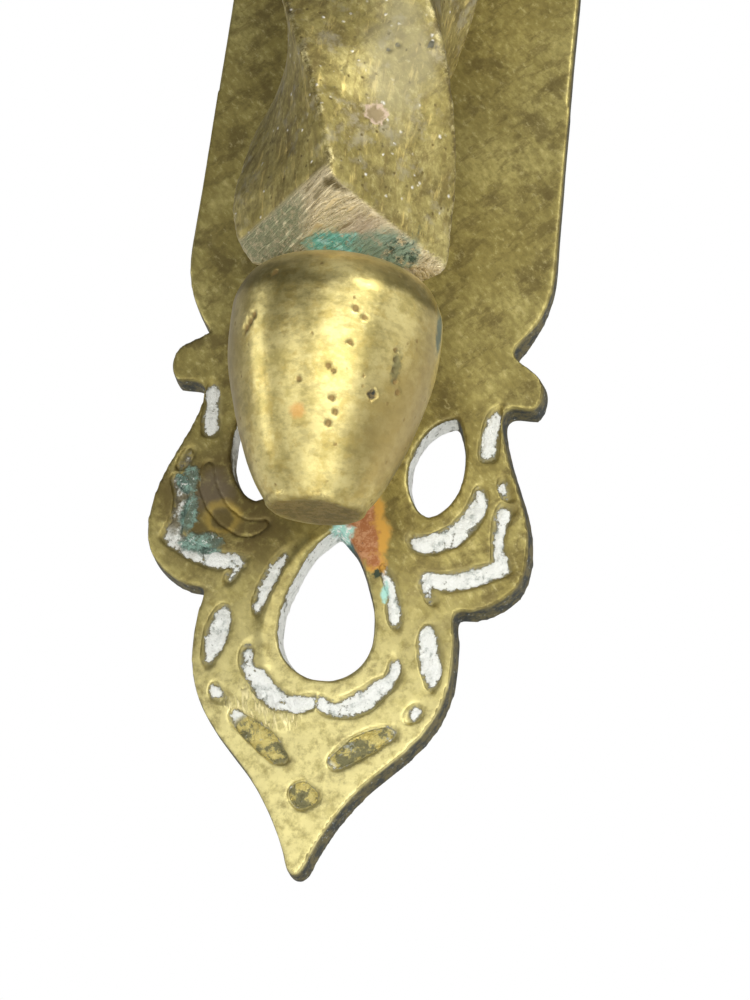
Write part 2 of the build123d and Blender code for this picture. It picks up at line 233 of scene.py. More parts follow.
def move(mesh, points):
    """Puts a mesh's vertices at these points, in millimetres."""
    mesh.vertices.foreach_set("co", (points * MM).astype(np.float32).ravel())
    mesh.update()


def store(mesh, name, values):
    """Keeps one number for each vertex, for a material to read."""
    attribute = mesh.attributes.new(name, "FLOAT", "POINT")
    attribute.data.foreach_set("value", np.asarray(values, np.float32).ravel())


def relaxed(values, edges, rounds):
    """Each vertex's value or place, averaged with its neighbours' some times over."""
    columns = values.reshape(len(values), -1)
    start = np.concatenate([edges[:, 0], edges[:, 1]])
    end = np.concatenate([edges[:, 1], edges[:, 0]])
    count = np.bincount(start, minlength=len(columns))[:, None]
    for _ in range(rounds):
        sums = [np.bincount(start, column[end], minlength=len(columns)) for column in columns.T]
        columns = (columns + np.stack(sums, axis=1) / count) / 2
    return columns.reshape(values.shape)


def bulge_of(mesh):
    """How far each vertex stands out from its neighbourhood, in millimetres; negative in a nook."""
    points = points_of(mesh)
    around = relaxed(points, edges_of(mesh), 4)
    return ((points - around) * normals_of(mesh)).sum(axis=1)


def link(mesh):
    """Adds an object for a mesh to the scene."""
    made = bpy.data.objects.new(mesh.name, mesh)
    bpy.context.scene.collection.objects.link(made)
    return made


def applied(holder):
    """The mesh of an object with its modifiers applied; the object is removed."""
    graph = bpy.context.evaluated_depsgraph_get()
    mesh = bpy.data.meshes.new_from_object(holder.evaluated_get(graph))
    mesh.name = holder.name
    bpy.data.objects.remove(holder)
    return mesh


def even_copy(name, node, rounds=0):
    """A copy of a CAD node's mesh, rebuilt from even faces and smoothed some times over."""
    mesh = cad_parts[node].data.copy()
    mesh.name = name
    holder = link(mesh)
    remesh = holder.modifiers.new("even", "REMESH")
    remesh.mode = "VOXEL"
    remesh.voxel_size = VOXEL * MM
    mesh = applied(holder)
    if rounds:
        move(mesh, relaxed(points_of(mesh), edges_of(mesh), rounds))
    return mesh


def trim(mesh, point, outwards):
    """Cuts off what lies beyond a plane, and closes the cut."""
    build = bmesh.new()
    build.from_mesh(mesh)
    everything = build.verts[:] + build.edges[:] + build.faces[:]
    cut = bmesh.ops.bisect_plane(
        build,
        geom=everything,
        plane_co=Vector(point) * MM,
        plane_no=Vector(outwards),
        clear_outer=True,
    )
    rim = [item for item in cut["geom_cut"] if isinstance(item, bmesh.types.BMEdge)]
    bmesh.ops.holes_fill(build, edges=rim)
    build.to_mesh(mesh)
    build.free()


def grid_mesh(name, points, closed=False):
    """A mesh through rings of points; closed joins the last ring to the first."""
    rows, columns = points.shape[:2]
    number = np.arange(rows * columns).reshape(rows, columns)
    if closed:
        number = np.vstack([number, number[:1]])
    beside = np.roll(number, -1, axis=1)
    quads = np.stack([number[:-1], beside[:-1], beside[1:], number[1:]], axis=-1)
    mesh = bpy.data.meshes.new(name)
    mesh.from_pydata((points.reshape(-1, 3) * MM).tolist(), [], quads.reshape(-1, 4).tolist())
    build = bmesh.new()
    build.from_mesh(mesh)
    bmesh.ops.remove_doubles(build, verts=build.verts, dist=WELD)
    bmesh.ops.recalc_face_normals(build, faces=build.faces)
    build.to_mesh(mesh)
    build.free()
    return mesh


def rounded(path, radius, closed=False):
    """A path of (radius, height) corners with each corner but the ends made round."""
    path = np.array(path, float)
    count = len(path)
    made = []
    for index, corner in enumerate(path):
        if not closed and index in (0, count - 1):
            made.append(corner)
            continue
        before = path[index - 1] - corner
        after = path[(index + 1) % count] - corner
        reach = min(radius, np.linalg.norm(before) * 0.45, np.linalg.norm(after) * 0.45)
        start = corner + before / np.linalg.norm(before) * reach
        end = corner + after / np.linalg.norm(after) * reach
        for share in np.linspace(0, 1, 5):
            made.append((1 - share) ** 2 * start + 2 * share * (1 - share) * corner + share**2 * end)
    return np.array(made)


def stepped(path, step):
    """A path with points added, so that none are more than step apart."""
    made = [path[0]]
    for start, end in zip(path[:-1], path[1:]):
        count = max(1, math.ceil(np.linalg.norm(end - start) / step))
        made += [start + (end - start) * (index + 1) / count for index in range(count)]
    return np.array(made)


def curved(path, count):
    """A smooth curve through (radius, height) points."""
    path = np.array(path, float)
    slopes = np.gradient(path, axis=0)
    made = []
    for index in range(len(path) - 1):
        share = np.linspace(0, 1, count, endpoint=False)[:, None]
        made.append(
            path[index] * (2 * share**3 - 3 * share**2 + 1)
            + slopes[index] * (share**3 - 2 * share**2 + share)
            + path[index + 1] * (3 * share**2 - 2 * share**3)
            + slopes[index + 1] * (share**3 - share**2)
        )
    return np.vstack(made + [path[-1:]])


def around(radius, theta, height):
    """Points from their distance from an axis, their direction and their height along it."""
    return np.stack([radius * np.cos(theta), radius * np.sin(theta), height], axis=-1)


def turned(name, path, columns, turn, origin, shape=None, closed=False):
    """A turned mesh from (radius, height) pairs; shape changes a radius by direction and height."""
    theta = np.linspace(0, TURN, columns, endpoint=False)[None, :]
    height = np.repeat(path[:, 1:], columns, axis=1)
    radius = np.repeat(path[:, :1], columns, axis=1)
    if shape:
        radius = shape(radius, theta, height)
    return grid_mesh(name, around(radius, theta, height) @ turn.T + origin, closed)


def dome(radius, edge, top, steps=14):
    """Half the section of a domed head: from the pole at top to the rim at edge."""
    rise = abs(top - edge)
    sphere = (radius**2 + rise**2) / (2 * rise)
    inwards = math.copysign(sphere, edge - top)
    angles = [math.asin(radius / sphere) * step / steps for step in range(steps + 1)]
    return [(sphere * math.sin(angle), top + inwards * (1 - math.cos(angle))) for angle in angles]


def finished(mesh, material, body, slot, *nodes):
    """Adds a mesh as a piece that rides on a body and stands for these CAD nodes."""
    piece = link(mesh)
    mesh.shade_smooth()
    mesh.materials.clear()
    mesh.materials.append(material)
    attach(piece, body)
    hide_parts(*nodes)
    return piece


# ---- materials ----


class Finish:
    """A material made of layers. Its textures lie in the part's frame, in millimetres."""

    def __init__(self, name, colour, roughness, metallic=1.0):
        self.material = bpy.data.materials.new(name)
        self.material.use_nodes = True
        self.tree = self.material.node_tree
        self.tree.nodes.clear()
        self.colour, self.roughness, self.metallic = colour, roughness, metallic
        self.height = 0.0
        self.seed = 0
        metres = self.node("TexCoord", {}, "Object")
        self.place = self.node("VectorMath", {0: metres, 3: 1 / MM}, operation="SCALE")

    def node(self, kind, inputs, output=0, **settings):
        """Adds a node and gives one of its outputs. An input is a number, a colour or a socket."""
        made = self.tree.nodes.new("ShaderNode" + kind)
        for setting, value in settings.items():
            setattr(made, setting, value)
        for key, value in inputs.items():
            socket = made.inputs[key]
            if isinstance(value, bpy.types.NodeSocket):
                self.tree.links.new(value, socket)
            elif socket.type == "RGBA":
                socket.default_value = (*value, 1.0)
            else:
                socket.default_value = value
        return made.outputs[output]

    def math(self, operation, first, second=0.0):
        return self.node("Math", {0: first, 1: second}, operation=operation)

    def stored(self, name):
        """A number kept in the mesh."""
        return self.node("Attribute", {}, "Fac", attribute_name=name)

    def ramp(self, value, low, high, start=0.0, end=1.0):
        """Eases from start to end as the value goes from low to high."""
        inputs = {0: value, 1: low, 2: high, 3: start, 4: end}
        return self.node("MapRange", inputs, interpolation_type="SMOOTHSTEP")

    def scaled_place(self, size, stretch, lean=0.0):
        """The place in units of size mm, longer along the stretched axes, shifted at each call."""
        self.seed += 1
        place = self.place
        if lean:
            inputs = {"Vector": place, "Axis": (0, 1, 0), "Angle": math.radians(lean)}
            place = self.node("VectorRotate", inputs)
        shares = tuple(1 / (size * along) for along in stretch)
        shift = (17.3 * self.seed, 5.1 * self.seed, 9.7 * self.seed)
        inputs = {0: place, 1: shares, 2: shift}
        return self.node("VectorMath", inputs, operation="MULTIPLY_ADD")

    def clouds(self, size, detail=4.0, rough=0.55, stretch=EVEN, lean=0.0):
        """Noise from 0 to 1 with lumps about size mm wide; lean turns them about the Y axis."""
        place = self.scaled_place(size, stretch, lean)
        inputs = {"Vector": place, "Scale": 1.0, "Detail": detail, "Roughness": rough}
        return self.node("TexNoise", inputs)

    def patches(self, size, detail, rough, low, high, start=0.0, end=1.0, stretch=EVEN, lean=0.0):
        """Clouds with sharper edges: start where the noise is below low, end where it is above high."""
        return self.ramp(self.clouds(size, detail, rough, stretch, lean), low, high, start, end)

    def specks(self, size, share):
        """1 in the middle of some spots of about size mm, 0 outside them; share of the cells."""
        place = self.scaled_place(size, EVEN)
        bent = self.node("TexNoise", {"Vector": place, "Scale": 2.0, "Detail": 2.0}, "Color")
        place = self.node("VectorMath", {0: bent, 1: (0.45,) * 3, 2: place}, operation="MULTIPLY_ADD")
        inputs = {"Vector": place, "Scale": 1.0}
        away = self.node("TexVoronoi", inputs, "Distance")
        chance = self.node("TexVoronoi", inputs, "Color")
        chosen = self.ramp(self.node("SeparateXYZ", {0: chance}), 1 - share, 1.02 - share)
        return self.both(chosen, self.ramp(away, 0.05, 0.38, 1.0, 0.0))

    def spot(self, centre, radius, feather, ragged=0.0, stretch=EVEN):
        """1 within a radius of a point, 0 beyond a feathered edge that wanders by ragged mm."""
        offset = self.node("VectorMath", {0: self.place, 1: tuple(centre)}, operation="SUBTRACT")
        shares = tuple(1 / along for along in stretch)
        offset = self.node("VectorMath", {0: offset, 1: shares}, operation="MULTIPLY")
        away = self.node("VectorMath", {0: offset}, "Value", operation="LENGTH")
        if ragged:
            wander = self.both(self.clouds(radius * 0.7), ragged * 2)
            away = self.math("ADD", away, self.math("SUBTRACT", wander, ragged))
        return self.ramp(away, radius - feather, radius + feather, 1.0, 0.0)

    def both(self, *masks):
        """The product of some masks, or of masks and numbers."""
        total = masks[0]
        for mask in masks[1:]:
            total = self.math("MULTIPLY", total, mask)
        return total

    def any_spot(self, *spots):
        """The greatest of some spots, each given by what spot() takes."""
        total = None
        for spot in spots:
            mask = self.spot(*spot)
            total = self.math("MAXIMUM", total, mask) if total else mask
        return total

    def layer(self, mask, colour=None, roughness=None, metallic=None, relief=0.0):
        """Lays a finish over what is there where the mask is 1, and raises it by relief mm."""
        mask = self.both(*mask) if isinstance(mask, tuple) else mask
        if colour is not None:
            inputs = {0: mask, 6: self.colour, 7: colour}
            self.colour = self.node("Mix", inputs, 2, data_type="RGBA")
        if roughness is not None:
            self.roughness = self.node("Mix", {0: mask, 2: self.roughness, 3: roughness})
        if metallic is not None:
            self.metallic = self.node("Mix", {0: mask, 2: self.metallic, 3: metallic})
        if relief:
            self.height = self.math("ADD", self.height, self.both(mask, relief))

    def mark(self, centre, radius, feather, ragged, stretch, share, *looks):
        """Lays a spot of colour, roughness and metallic; share is how well it covers."""
        self.layer((self.spot(centre, radius, feather, ragged, stretch), share), *looks)

    def done(self):
        """Joins the layers to the shader and gives the material."""
        bump = self.node("Bump", {"Height": self.height, "Distance": MM, "Strength": 1.0})
        inputs = {
            "Base Color": self.colour,
            "Roughness": self.roughness,
            "Metallic": self.metallic,
            "Normal": bump,
        }
        shader = self.node("BsdfPrincipled", inputs)
        surface = self.tree.nodes.new("ShaderNodeOutputMaterial").inputs["Surface"]
        self.tree.links.new(shader, surface)
        return self.material


def brass_base(name, colour, roughness):
    """Brass with clouds of tarnish, olive and brown mottling, and a fine grain."""
    finish = Finish(name, colour, roughness)
    finish.layer(finish.patches(11, 6, 0.62, 0.40, 0.60), OLIVE, roughness + 0.08)
    mottled = finish.patches(3.4, 8, 0.7, 0.44, 0.62, 0.0, 0.75, (1, 1, 2.2), 42)
    finish.layer(mottled, OLIVE, roughness + 0.10)
    wisps = finish.patches(1.5, 7, 0.7, 0.50, 0.64, 0.0, 0.55, (1, 1, 2.6), -48)
    finish.layer(wisps, UMBER, roughness + 0.12)
    finish.layer(finish.patches(5.5, 8, 0.7, 0.50, 0.64, 0.0, 0.7), UMBER, roughness + 0.06)
    grain = finish.clouds(0.7, 6, 0.7, (1, 1, 1.8), 42)
    finish.layer(finish.ramp(grain, 0.38, 0.56, 0.35, 0.0), UMBER)
    finish.layer(finish.ramp(grain, 0.54, 0.70, 0.0, 0.4), BRIGHT_BRASS)
    finish.layer(grain, relief=0.03)
    finish.layer(finish.clouds(1.5, 4, 0.6), relief=0.03)
    return finish


def scratched(finish, stretch, lean=0.0, relief=0.008):
    """Adds fine scratches that run along the stretched axis."""
    scratch = finish.patches(0.14, 3, 0.6, 0.64, 0.74, 0.0, 1.0, stretch, lean)
    finish.layer((scratch, finish.patches(7, 3, 0.55, 0.45, 0.6)), relief=-relief)


def plate_tones_and_painted_light(finish):
    """The finial's lower end brightened as a painted highlight, and its left lobe darkened as painted
    shadow, with a golden ring in it.
    """
    # painted highlight: the finial's lower end is made brighter and smoother
    low = finish.spot(drop(0, 60), 24, 12, 4)
    finish.layer((low, finish.patches(1.8, 7, 0.7, 0.34, 0.58, 0.25, 0.95)), (0.80, 0.71, 0.32), 0.42)
    # painted shadow: umber patches on the left lobe, where the acorn's shadow falls
    lobe_shadow = finish.spot(drop(-15, 24), 9, 3.5, 3)
    finish.layer((lobe_shadow, finish.patches(2.2, 6, 0.7, 0.3, 0.55)), UMBER, 0.55)
    finish.mark(drop(-16.8, 22.1), 2.6, 1.4, 1.5, EVEN, 0.3, (0.25, 0.21, 0.20), 0.6)
    ring = finish.spot(drop(-15.3, 25.7), 2.4, 0.5, 0.8)
    hollow = finish.spot(drop(-15.3, 25.9), 1.5, 0.4, 0.6)
    finish.layer((ring, finish.math("SUBTRACT", 1.0, hollow), 0.7), (0.46, 0.33, 0.08), 0.4)


def plate_wear_and_shade(finish):
    """Chatter marks below the middle piercing, a film between the grooves, rubbed edges, and dark walls
    with painted shade on the lower finial's left-facing ones.
    """
    chatter = finish.spot(drop(-6.6, 50.6), 3.6, 1.0, 1.6, (1.3, 1, 0.8))
    lines = finish.patches(0.45, 4, 0.6, 0.46, 0.58, 0.0, 1.0, (1, 1, 5), 12)
    finish.layer((chatter, lines), (0.93, 0.82, 0.42), 0.38, relief=0.12)
    soiled = finish.ramp(finish.stored("soiled"), 0.02, 0.26)
    finish.layer((soiled, finish.patches(2.0, 6, 0.7, 0.28, 0.60, 0.3, 0.9)), (0.40, 0.34, 0.14), 0.54)
    worn = finish.ramp(finish.stored("bulge"), 0.05, 0.16)
    finish.layer((worn, finish.patches(0.9, 5, 0.7, 0.30, 0.55, 0.3, 1.0)), (0.95, 0.88, 0.52), 0.36)
    wall = finish.stored("wall")
    # the walls go dark olive with near-black patches; on the lower finial's left-facing walls this is
    # painted shade
    finish.layer(wall, DARK_OLIVE, 0.55, 0.8)
    finish.layer((wall, finish.patches(1.8, 7, 0.75, 0.40, 0.60, 0.25, 1.0)), NEAR_BLACK, 0.7, 0.2)
    finish.layer((wall, finish.patches(0.5, 4, 0.7, 0.6, 0.72)), CHALK_SHADE, 0.8, 0.1)


def groove_polish(finish):
    """Old white polish in the grooves, with a dark margin of grime and painted shadow. Gives the ragged
    groove mask.
    """
    groove = finish.stored("groove")
    fine = finish.math("SUBTRACT", finish.clouds(0.8, 6, 0.75), 0.5)
    wide = finish.math("SUBTRACT", finish.clouds(2.4, 4, 0.6), 0.5)
    ragged = finish.math("ADD", groove, finish.both(fine, 2.4))
    ragged = finish.math("ADD", ragged, finish.both(wide, 1.9))
    ragged = finish.both(ragged, finish.ramp(groove, 0.02, 0.12))
    # grime and painted shadow: a grey-brown band round the polish along the grooves' edges
    finish.layer(finish.ramp(ragged, 0.18, 0.50, 0.0, 0.85), (0.30, 0.28, 0.18), 0.7, 0.3)
    chalk = finish.ramp(ragged, 0.52, 0.66)
    finish.layer(chalk, CHALK, 0.92, 0.0)
    dirty = finish.patches(1.3, 5, 0.65, 0.48, 0.64)
    finish.layer((chalk, dirty, finish.ramp(ragged, 1.1, 0.7, 0.25, 1.0)), CHALK_SHADE)
    finish.layer((chalk, finish.patches(2.0, 6, 0.75, 0.60, 0.68)), (0.22, 0.21, 0.15))
    finish.layer((chalk, finish.clouds(0.8, 5, 0.65)), relief=0.5)
    return ragged


def lobe_painted_shade(finish, ragged):
    """Painted shade over the polish in the left lobe's grooves, where the acorn's shadow falls."""
    shaded_lobe = finish.both(finish.spot(drop(-17.5, 23), 7.5, 1.5, 3), finish.ramp(ragged, 0.1, 0.4))
    shade_patches = finish.patches(1.7, 6, 0.75, 0.38, 0.52, 0.15, 0.95)
    # painted shade: dark patches over the polish in the left lobe
    finish.layer((shaded_lobe, shade_patches), (0.20, 0.17, 0.09), 0.6, 0.5)


def tail_fill(finish):
    """Golden and dark clumps, instead of white polish, in the three lowest grooves."""
    slots = finish.any_spot(
        (drop(-6.0, 54.4), 4.0, 0.5, 0.6, (1.1, 1, 0.9)),
        (drop(6.4, 54.4), 4.2, 0.5, 0.6, (1.1, 1, 0.9)),
        (drop(0, 61.3), 3.2, 0.4),
    )
    tail = finish.both(slots, finish.ramp(finish.stored("groove"), 0.26, 0.44))
    finish.layer(tail, GOLDEN, 0.38, 1.0)
    clumps = finish.patches(1.9, 7, 0.7, 0.46, 0.56, 0.0, 0.85, EVEN, 40)
    finish.layer((tail, clumps), (0.15, 0.15, 0.08), 0.7, 0.3)
    finish.layer((tail, finish.patches(2.4, 6, 0.75, 0.58, 0.66)), CHALK_SHADE, 0.9, 0.1)
    finish.layer((tail, finish.clouds(0.9, 5, 0.7)), relief=0.6)


def plate_verdigris(finish, ragged):
    """Crusty verdigris along the left lobe's groove, and a pale patch above the middle piercing."""
    crust = finish.any_spot(
        (drop(-20.6, 20.8), 1.5, 0.4, 1.3, (1, 1, 1.2)),
        (drop(-19.8, 25.6), 1.2, 0.4, 1.1, (0.9, 1, 2.2)),
        (drop(-17.6, 29.4), 1.5, 0.4, 1.1, (1.8, 1, 1.0)),
    )
    crust = finish.both(crust, finish.ramp(ragged, -0.3, 0.12))
    finish.layer(crust, (0.10, 0.155, 0.12), 0.8, 0.0)
    finish.layer((crust, finish.patches(1.1, 5, 0.7, 0.46, 0.60)), (0.27, 0.42, 0.34), 0.9)
    finish.layer((crust, finish.patches(0.8, 4, 0.7, 0.57, 0.68)), CHALK, 0.9)
    finish.layer((crust, finish.clouds(0.5, 3, 0.7)), relief=0.3)
    rim = finish.spot(drop(1.6, 26.3), 2.2, 0.4, 0.8, (1, 2, 1))
    finish.layer((rim, finish.patches(0.8, 4, 0.55, 0.3, 0.5)), (0.06, 0.16, 0.15), 0.85, 0.0)
    pale = finish.spot(drop(0.9, 26.3), 1.6, 0.4, 0.8, (1.1, 2, 1))
    finish.layer(pale, PALE_VERDIGRIS, 0.9, 0.0)
    finish.layer((pale, finish.patches(0.6, 4, 0.55, 0.5, 0.6)), CHALK, 0.9, 0.0)


def rust_stain(finish):
    """The rust that has run down from the strike stud, with a bright fringe."""
    fringe = finish.any_spot(
        (drop(3.4, 23.6), 2.4, 0.6, 1.2),
        (drop(4.6, 27.0), 2.2, 0.5, 1.0, (1, 1, 1.6)),
        (drop(5.6, 30.6), 1.3, 0.4, 0.8),
    )
    finish.layer(fringe, RUST_FRINGE, 0.62, 0.25)
    rust = finish.any_spot(
        (drop(2.6, 24.0), 2.0, 0.4, 1.2),
        (drop(3.7, 27.2), 1.7, 0.4, 1.1, (1, 1, 1.7)),
        (drop(5.0, 30.0), 1.0, 0.4, 0.7),
    )
    finish.layer(rust, RUST, 0.8, 0.0)
    finish.layer((rust, finish.patches(0.7, 6, 0.75, 0.44, 0.60)), (0.52, 0.26, 0.12), 0.85)
    finish.layer((rust, finish.patches(0.5, 5, 0.75, 0.62, 0.70)), (0.10, 0.03, 0.015))
    finish.mark(drop(5.7, 31.8), 0.6, 0.25, 0.5, EVEN, 1.0, (0.03, 0.045, 0.02), 0.7, 0.0)
    finish.mark(drop(7.0, 34.2), 0.8, 0.3, 0.6, (0.6, 1, 1.7), 1.0, PALE_VERDIGRIS, 0.9, 0.0)


def plate_brass():
    """The plate's brass, with its wear, dark walls, old polish, verdigris and rust, and some painted
    highlight and shade.
    """
    finish = brass_base("plate_brass", BRASS, 0.46)
    scratched(finish, (1, 1, 30), 35)
    scratched(finish, (1, 1, 30), -50)
    plate_tones_and_painted_light(finish)
    plate_wear_and_shade(finish)
    ragged = groove_polish(finish)
    lobe_painted_shade(finish, ragged)
    tail_fill(finish)
    plate_verdigris(finish, ragged)
    rust_stain(finish)
    return finish.done()


def arm_base(name):
    """The arm's brass: mottled, streaked, grainy and pitted, with rubbed arrises."""
    finish = brass_base(name, (0.54, 0.46, 0.18), 0.50)
    finish.layer(finish.patches(0.9, 7, 0.7, 0.48, 0.66, 0.0, 0.55, (1, 1, 4)), (0.24, 0.18, 0.065), 0.55)
    finish.layer(finish.patches(1.0, 6, 0.65, 0.54, 0.70, 0.0, 0.6, (1, 1, 4)), (0.78, 0.62, 0.22), 0.42)
    finish.layer(finish.patches(3.4, 6, 0.65, 0.52, 0.68, 0.0, 0.55), (0.44, 0.40, 0.28), 0.5)
    finish.layer(finish.specks(0.8, 0.16), UMBER, 0.6, relief=-0.03)
    worn = finish.ramp(finish.stored("bulge"), 0.015, 0.06)
    finish.layer((worn, finish.patches(1.5, 7, 0.78, 0.50, 0.60, 0.0, 0.75)), (0.78, 0.68, 0.34), 0.44)
    finish.layer((worn, finish.patches(1.9, 7, 0.78, 0.50, 0.58, 0.0, 0.8)), UMBER, 0.55)
    glints = (finish.specks(0.85, 0.25), finish.patches(3.0, 3, 0.55, 0.50, 0.60))
    finish.layer(glints, (0.90, 0.87, 0.76), 0.3, 0.4, relief=0.05)
    finish.layer(finish.ramp(finish.stored("bulge"), -0.02, -0.07), NEAR_BLACK, 0.7, 0.3)
    return finish


def filed_facets(finish):
    """The pale filed facets at the bar's foot: file marks, a shadow line and a speckled side."""
    facet = finish.stored("filed")
    finish.layer((facet, 0.9), (0.90, 0.77, 0.50), 0.5)
    grain = finish.clouds(0.42, 5, 0.65, (7, 7, 1), 28)
    finish.layer((facet, finish.ramp(grain, 0.40, 0.60)), relief=0.2)
    finish.layer((facet, finish.ramp(grain, 0.47, 0.38, 0.0, 0.8)), UMBER, 0.6)
    shadow = finish.spot(on_arm(-86, 12.0, 14.6), 1.3, 0.5, 0.9, (1.7, 1, 0.6))
    finish.layer((facet, shadow, finish.ramp(grain, 0.66, 0.5, 0.3, 0.9)), UMBER, 0.6)
    side = finish.spot(on_arm(-150, 12.5, 11.5), 7.0, 1.6, 2.0)
    speckle = finish.patches(0.8, 6, 0.75, 0.36, 0.56, 0.25, 0.9)
    finish.layer((side, facet, speckle), (0.28, 0.30, 0.16), 0.62, 0.5)


def bar_marks(finish):
    """A dull patch, a scar, a deep pit and a pinkish end on the bar's front."""
    finish.mark(on_arm(-56, 10.1, 33), 4.4, 1.8, 2.6, (1, 1, 2.1), 0.5, (0.36, 0.33, 0.21), 0.5)
    finish.mark(on_arm(-70, 9.7, 25.3), 1.5, 0.25, 1.3, EVEN, 1.0, (0.62, 0.48, 0.34), 0.6, 0.5)
    finish.mark(on_arm(-70, 9.7, 25.4), 1.05, 0.25, 1.0, EVEN, 1.0, (0.36, 0.28, 0.15), 0.6, 0.7)
    finish.mark(on_arm(-41, 11.0, 35.6), 0.65, 0.2, 0.4, (0.8, 1, 1.5), 1.0, NEAR_BLACK, 0.7, 0.2)
    finish.mark(on_arm(-60, 6.4, 10.6), 3.0, 1.2, 1.6, EVEN, 0.6, (0.60, 0.48, 0.36), 0.6, 0.4)


def foot_verdigris(finish):
    """Turquoise and dark green corrosion where the bar meets the acorn."""
    turquoise = finish.spot(on_arm(-94, 5.0, 9.2), 2.5, 0.6, 1.5, (1.4, 1.4, 0.6))
    finish.layer((turquoise, finish.patches(0.8, 6, 0.75, 0.32, 0.50)), (0.18, 0.50, 0.40), 0.85, 0.0)
    finish.layer((turquoise, finish.patches(0.9, 6, 0.7, 0.50, 0.62)), PALE_VERDIGRIS, 0.9, 0.0)
    pale = finish.spot(on_arm(-36, 7.0, 9.2), 3.4, 0.9, 1.8, (1.3, 1, 0.7))
    finish.layer((pale, finish.patches(1.1, 6, 0.7, 0.34, 0.54)), (0.30, 0.40, 0.28), 0.8, 0.1)
    line = finish.spot(on_arm(-24, 8.4, 10.0), 2.3, 0.6, 1.6, (0.9, 1, 1.5))
    broken = finish.patches(1.2, 7, 0.75, 0.48, 0.60, 0.0, 1.0, (1, 1, 2))
    finish.layer((line, broken), (0.045, 0.08, 0.045), 0.7, 0.0)


def bar_brass():
    """The bar's brass, with its filed foot, marks and corrosion."""
    finish = arm_base("arm_brass")
    filed_facets(finish)
    bar_marks(finish)
    foot_verdigris(finish)
    return finish.done()


def acorn_film(finish):
    """Warm mottling, grain, a dusty crown and two brown flanks."""
    finish.layer(finish.patches(5, 8, 0.7, 0.42, 0.60, 0.0, 0.85), (0.50, 0.41, 0.14), 0.34)
    finish.layer(finish.patches(2.4, 7, 0.68, 0.48, 0.62, 0.0, 0.7), (0.56, 0.43, 0.13), 0.36)
    grain = finish.clouds(0.9, 6, 0.65, (1.8, 1.8, 1))
    finish.layer(finish.ramp(grain, 0.36, 0.54, 0.32, 0.0), DARK_OLIVE)
    finish.layer(finish.ramp(grain, 0.54, 0.72, 0.0, 0.5), BRIGHT_BRASS)
    crown = finish.spot(on_arm(-90, 0, 8.0), 12.5, 4.0, 2.0, (1, 1, 0.62))
    dust = finish.patches(1.6, 6, 0.7, 0.30, 0.60, 0.45, 0.85)
    finish.layer((crown, dust), (0.62, 0.47, 0.20), 0.5, 0.35)
    finish.layer(grain, relief=0.022)
    finish.layer(finish.clouds(1.5, 4, 0.6), relief=0.035)
    scratched(finish, (30, 30, 1), 0.0, 0.006)
    finish.mark(on_arm(-22, 11.0, -13.0), 6.0, 3.5, 2.4, (1, 1, 2.0), 0.75, (0.36, 0.27, 0.10), 0.42)
    finish.mark(on_arm(-168, 13.0, -4.0), 6.0, 3.0, 2.0, (1, 1, 2.4), 0.6, (0.34, 0.27, 0.12), 0.42)


def acorn_marks(finish):
    """Brown pits, a deep one, an orange fleck, a gouge, a green edge and a crusty end."""
    finish.layer(finish.specks(0.9, 0.07), (0.34, 0.25, 0.09), 0.5, relief=-0.03)
    finish.layer(finish.ramp(finish.stored("dent"), 0.15, 0.9, 0.0, 0.85), (0.30, 0.20, 0.07), 0.6, 0.8)
    finish.mark(on_arm(-53, 11.4, -11.0), 0.55, 0.25, 0.45, EVEN, 1.0, NEAR_BLACK, 0.7, 0.2)
    finish.mark(on_arm(-99, 10.5, -14.0), 0.9, 0.4, 0.5, EVEN, 0.6, (0.75, 0.36, 0.10), 0.4)
    finish.mark(on_arm(-42, 12.4, -7.2), 0.9, 0.4, 0.9, (0.6, 0.9, 3.0), 0.7, (0.14, 0.14, 0.06), 0.6, 0.5)
    finish.mark(on_arm(-6, 13.3, 0.2), 1.3, 0.6, 1.0, (1, 1, 2.2), 0.85, (0.06, 0.11, 0.09), 0.6, 0.2)
    rim = finish.spot(on_arm(0, 0, -25.4), 6.0, 1.2, 1.6)
    finish.layer((rim, 0.9), UMBER, 0.6)
    crust = (rim, finish.patches(1.3, 6, 0.7, 0.44, 0.58))
    finish.layer(crust, (0.29, 0.22, 0.085), 0.55, relief=0.3)


def acorn_brass():
    """The acorn's brass: polished by hands, with small brown and dark pits."""
    finish = Finish("acorn_brass", (0.74, 0.63, 0.265), 0.35)
    acorn_film(finish)
    acorn_marks(finish)
    return finish.done()


def bracket_brass():
    """The bracket's brass: like the arm's, smoother, and dark in its nooks."""
    finish = brass_base("bracket_brass", BRASS, 0.42)
    scratched(finish, (1, 1, 30))
    finish.layer(finish.specks(1.1, 0.12), UMBER, 0.6, relief=-0.08)
    finish.layer(finish.ramp(finish.stored("bulge"), 0.04, 0.11, 0.0, 0.8), BRIGHT_BRASS, 0.34)
    nook = finish.ramp(finish.stored("bulge"), -0.02, -0.1)
    finish.layer(nook, NEAR_BLACK, 0.75, 0.2)
    finish.layer((nook, finish.patches(2.2, 5, 0.55, 0.5, 0.6)), VERDIGRIS, 0.85, 0.0)
    return finish.done()


def turned_brass():
    """The pin's, cap nut's and eye washers' brass: plain turned stock gone dull."""
    finish = brass_base("turned_brass", (0.66, 0.56, 0.22), 0.32)
    scratched(finish, (1, 20, 20), 0.0, 0.006)
    finish.layer(finish.specks(0.8, 0.1), UMBER, 0.6, relief=-0.05)
    return finish.done()


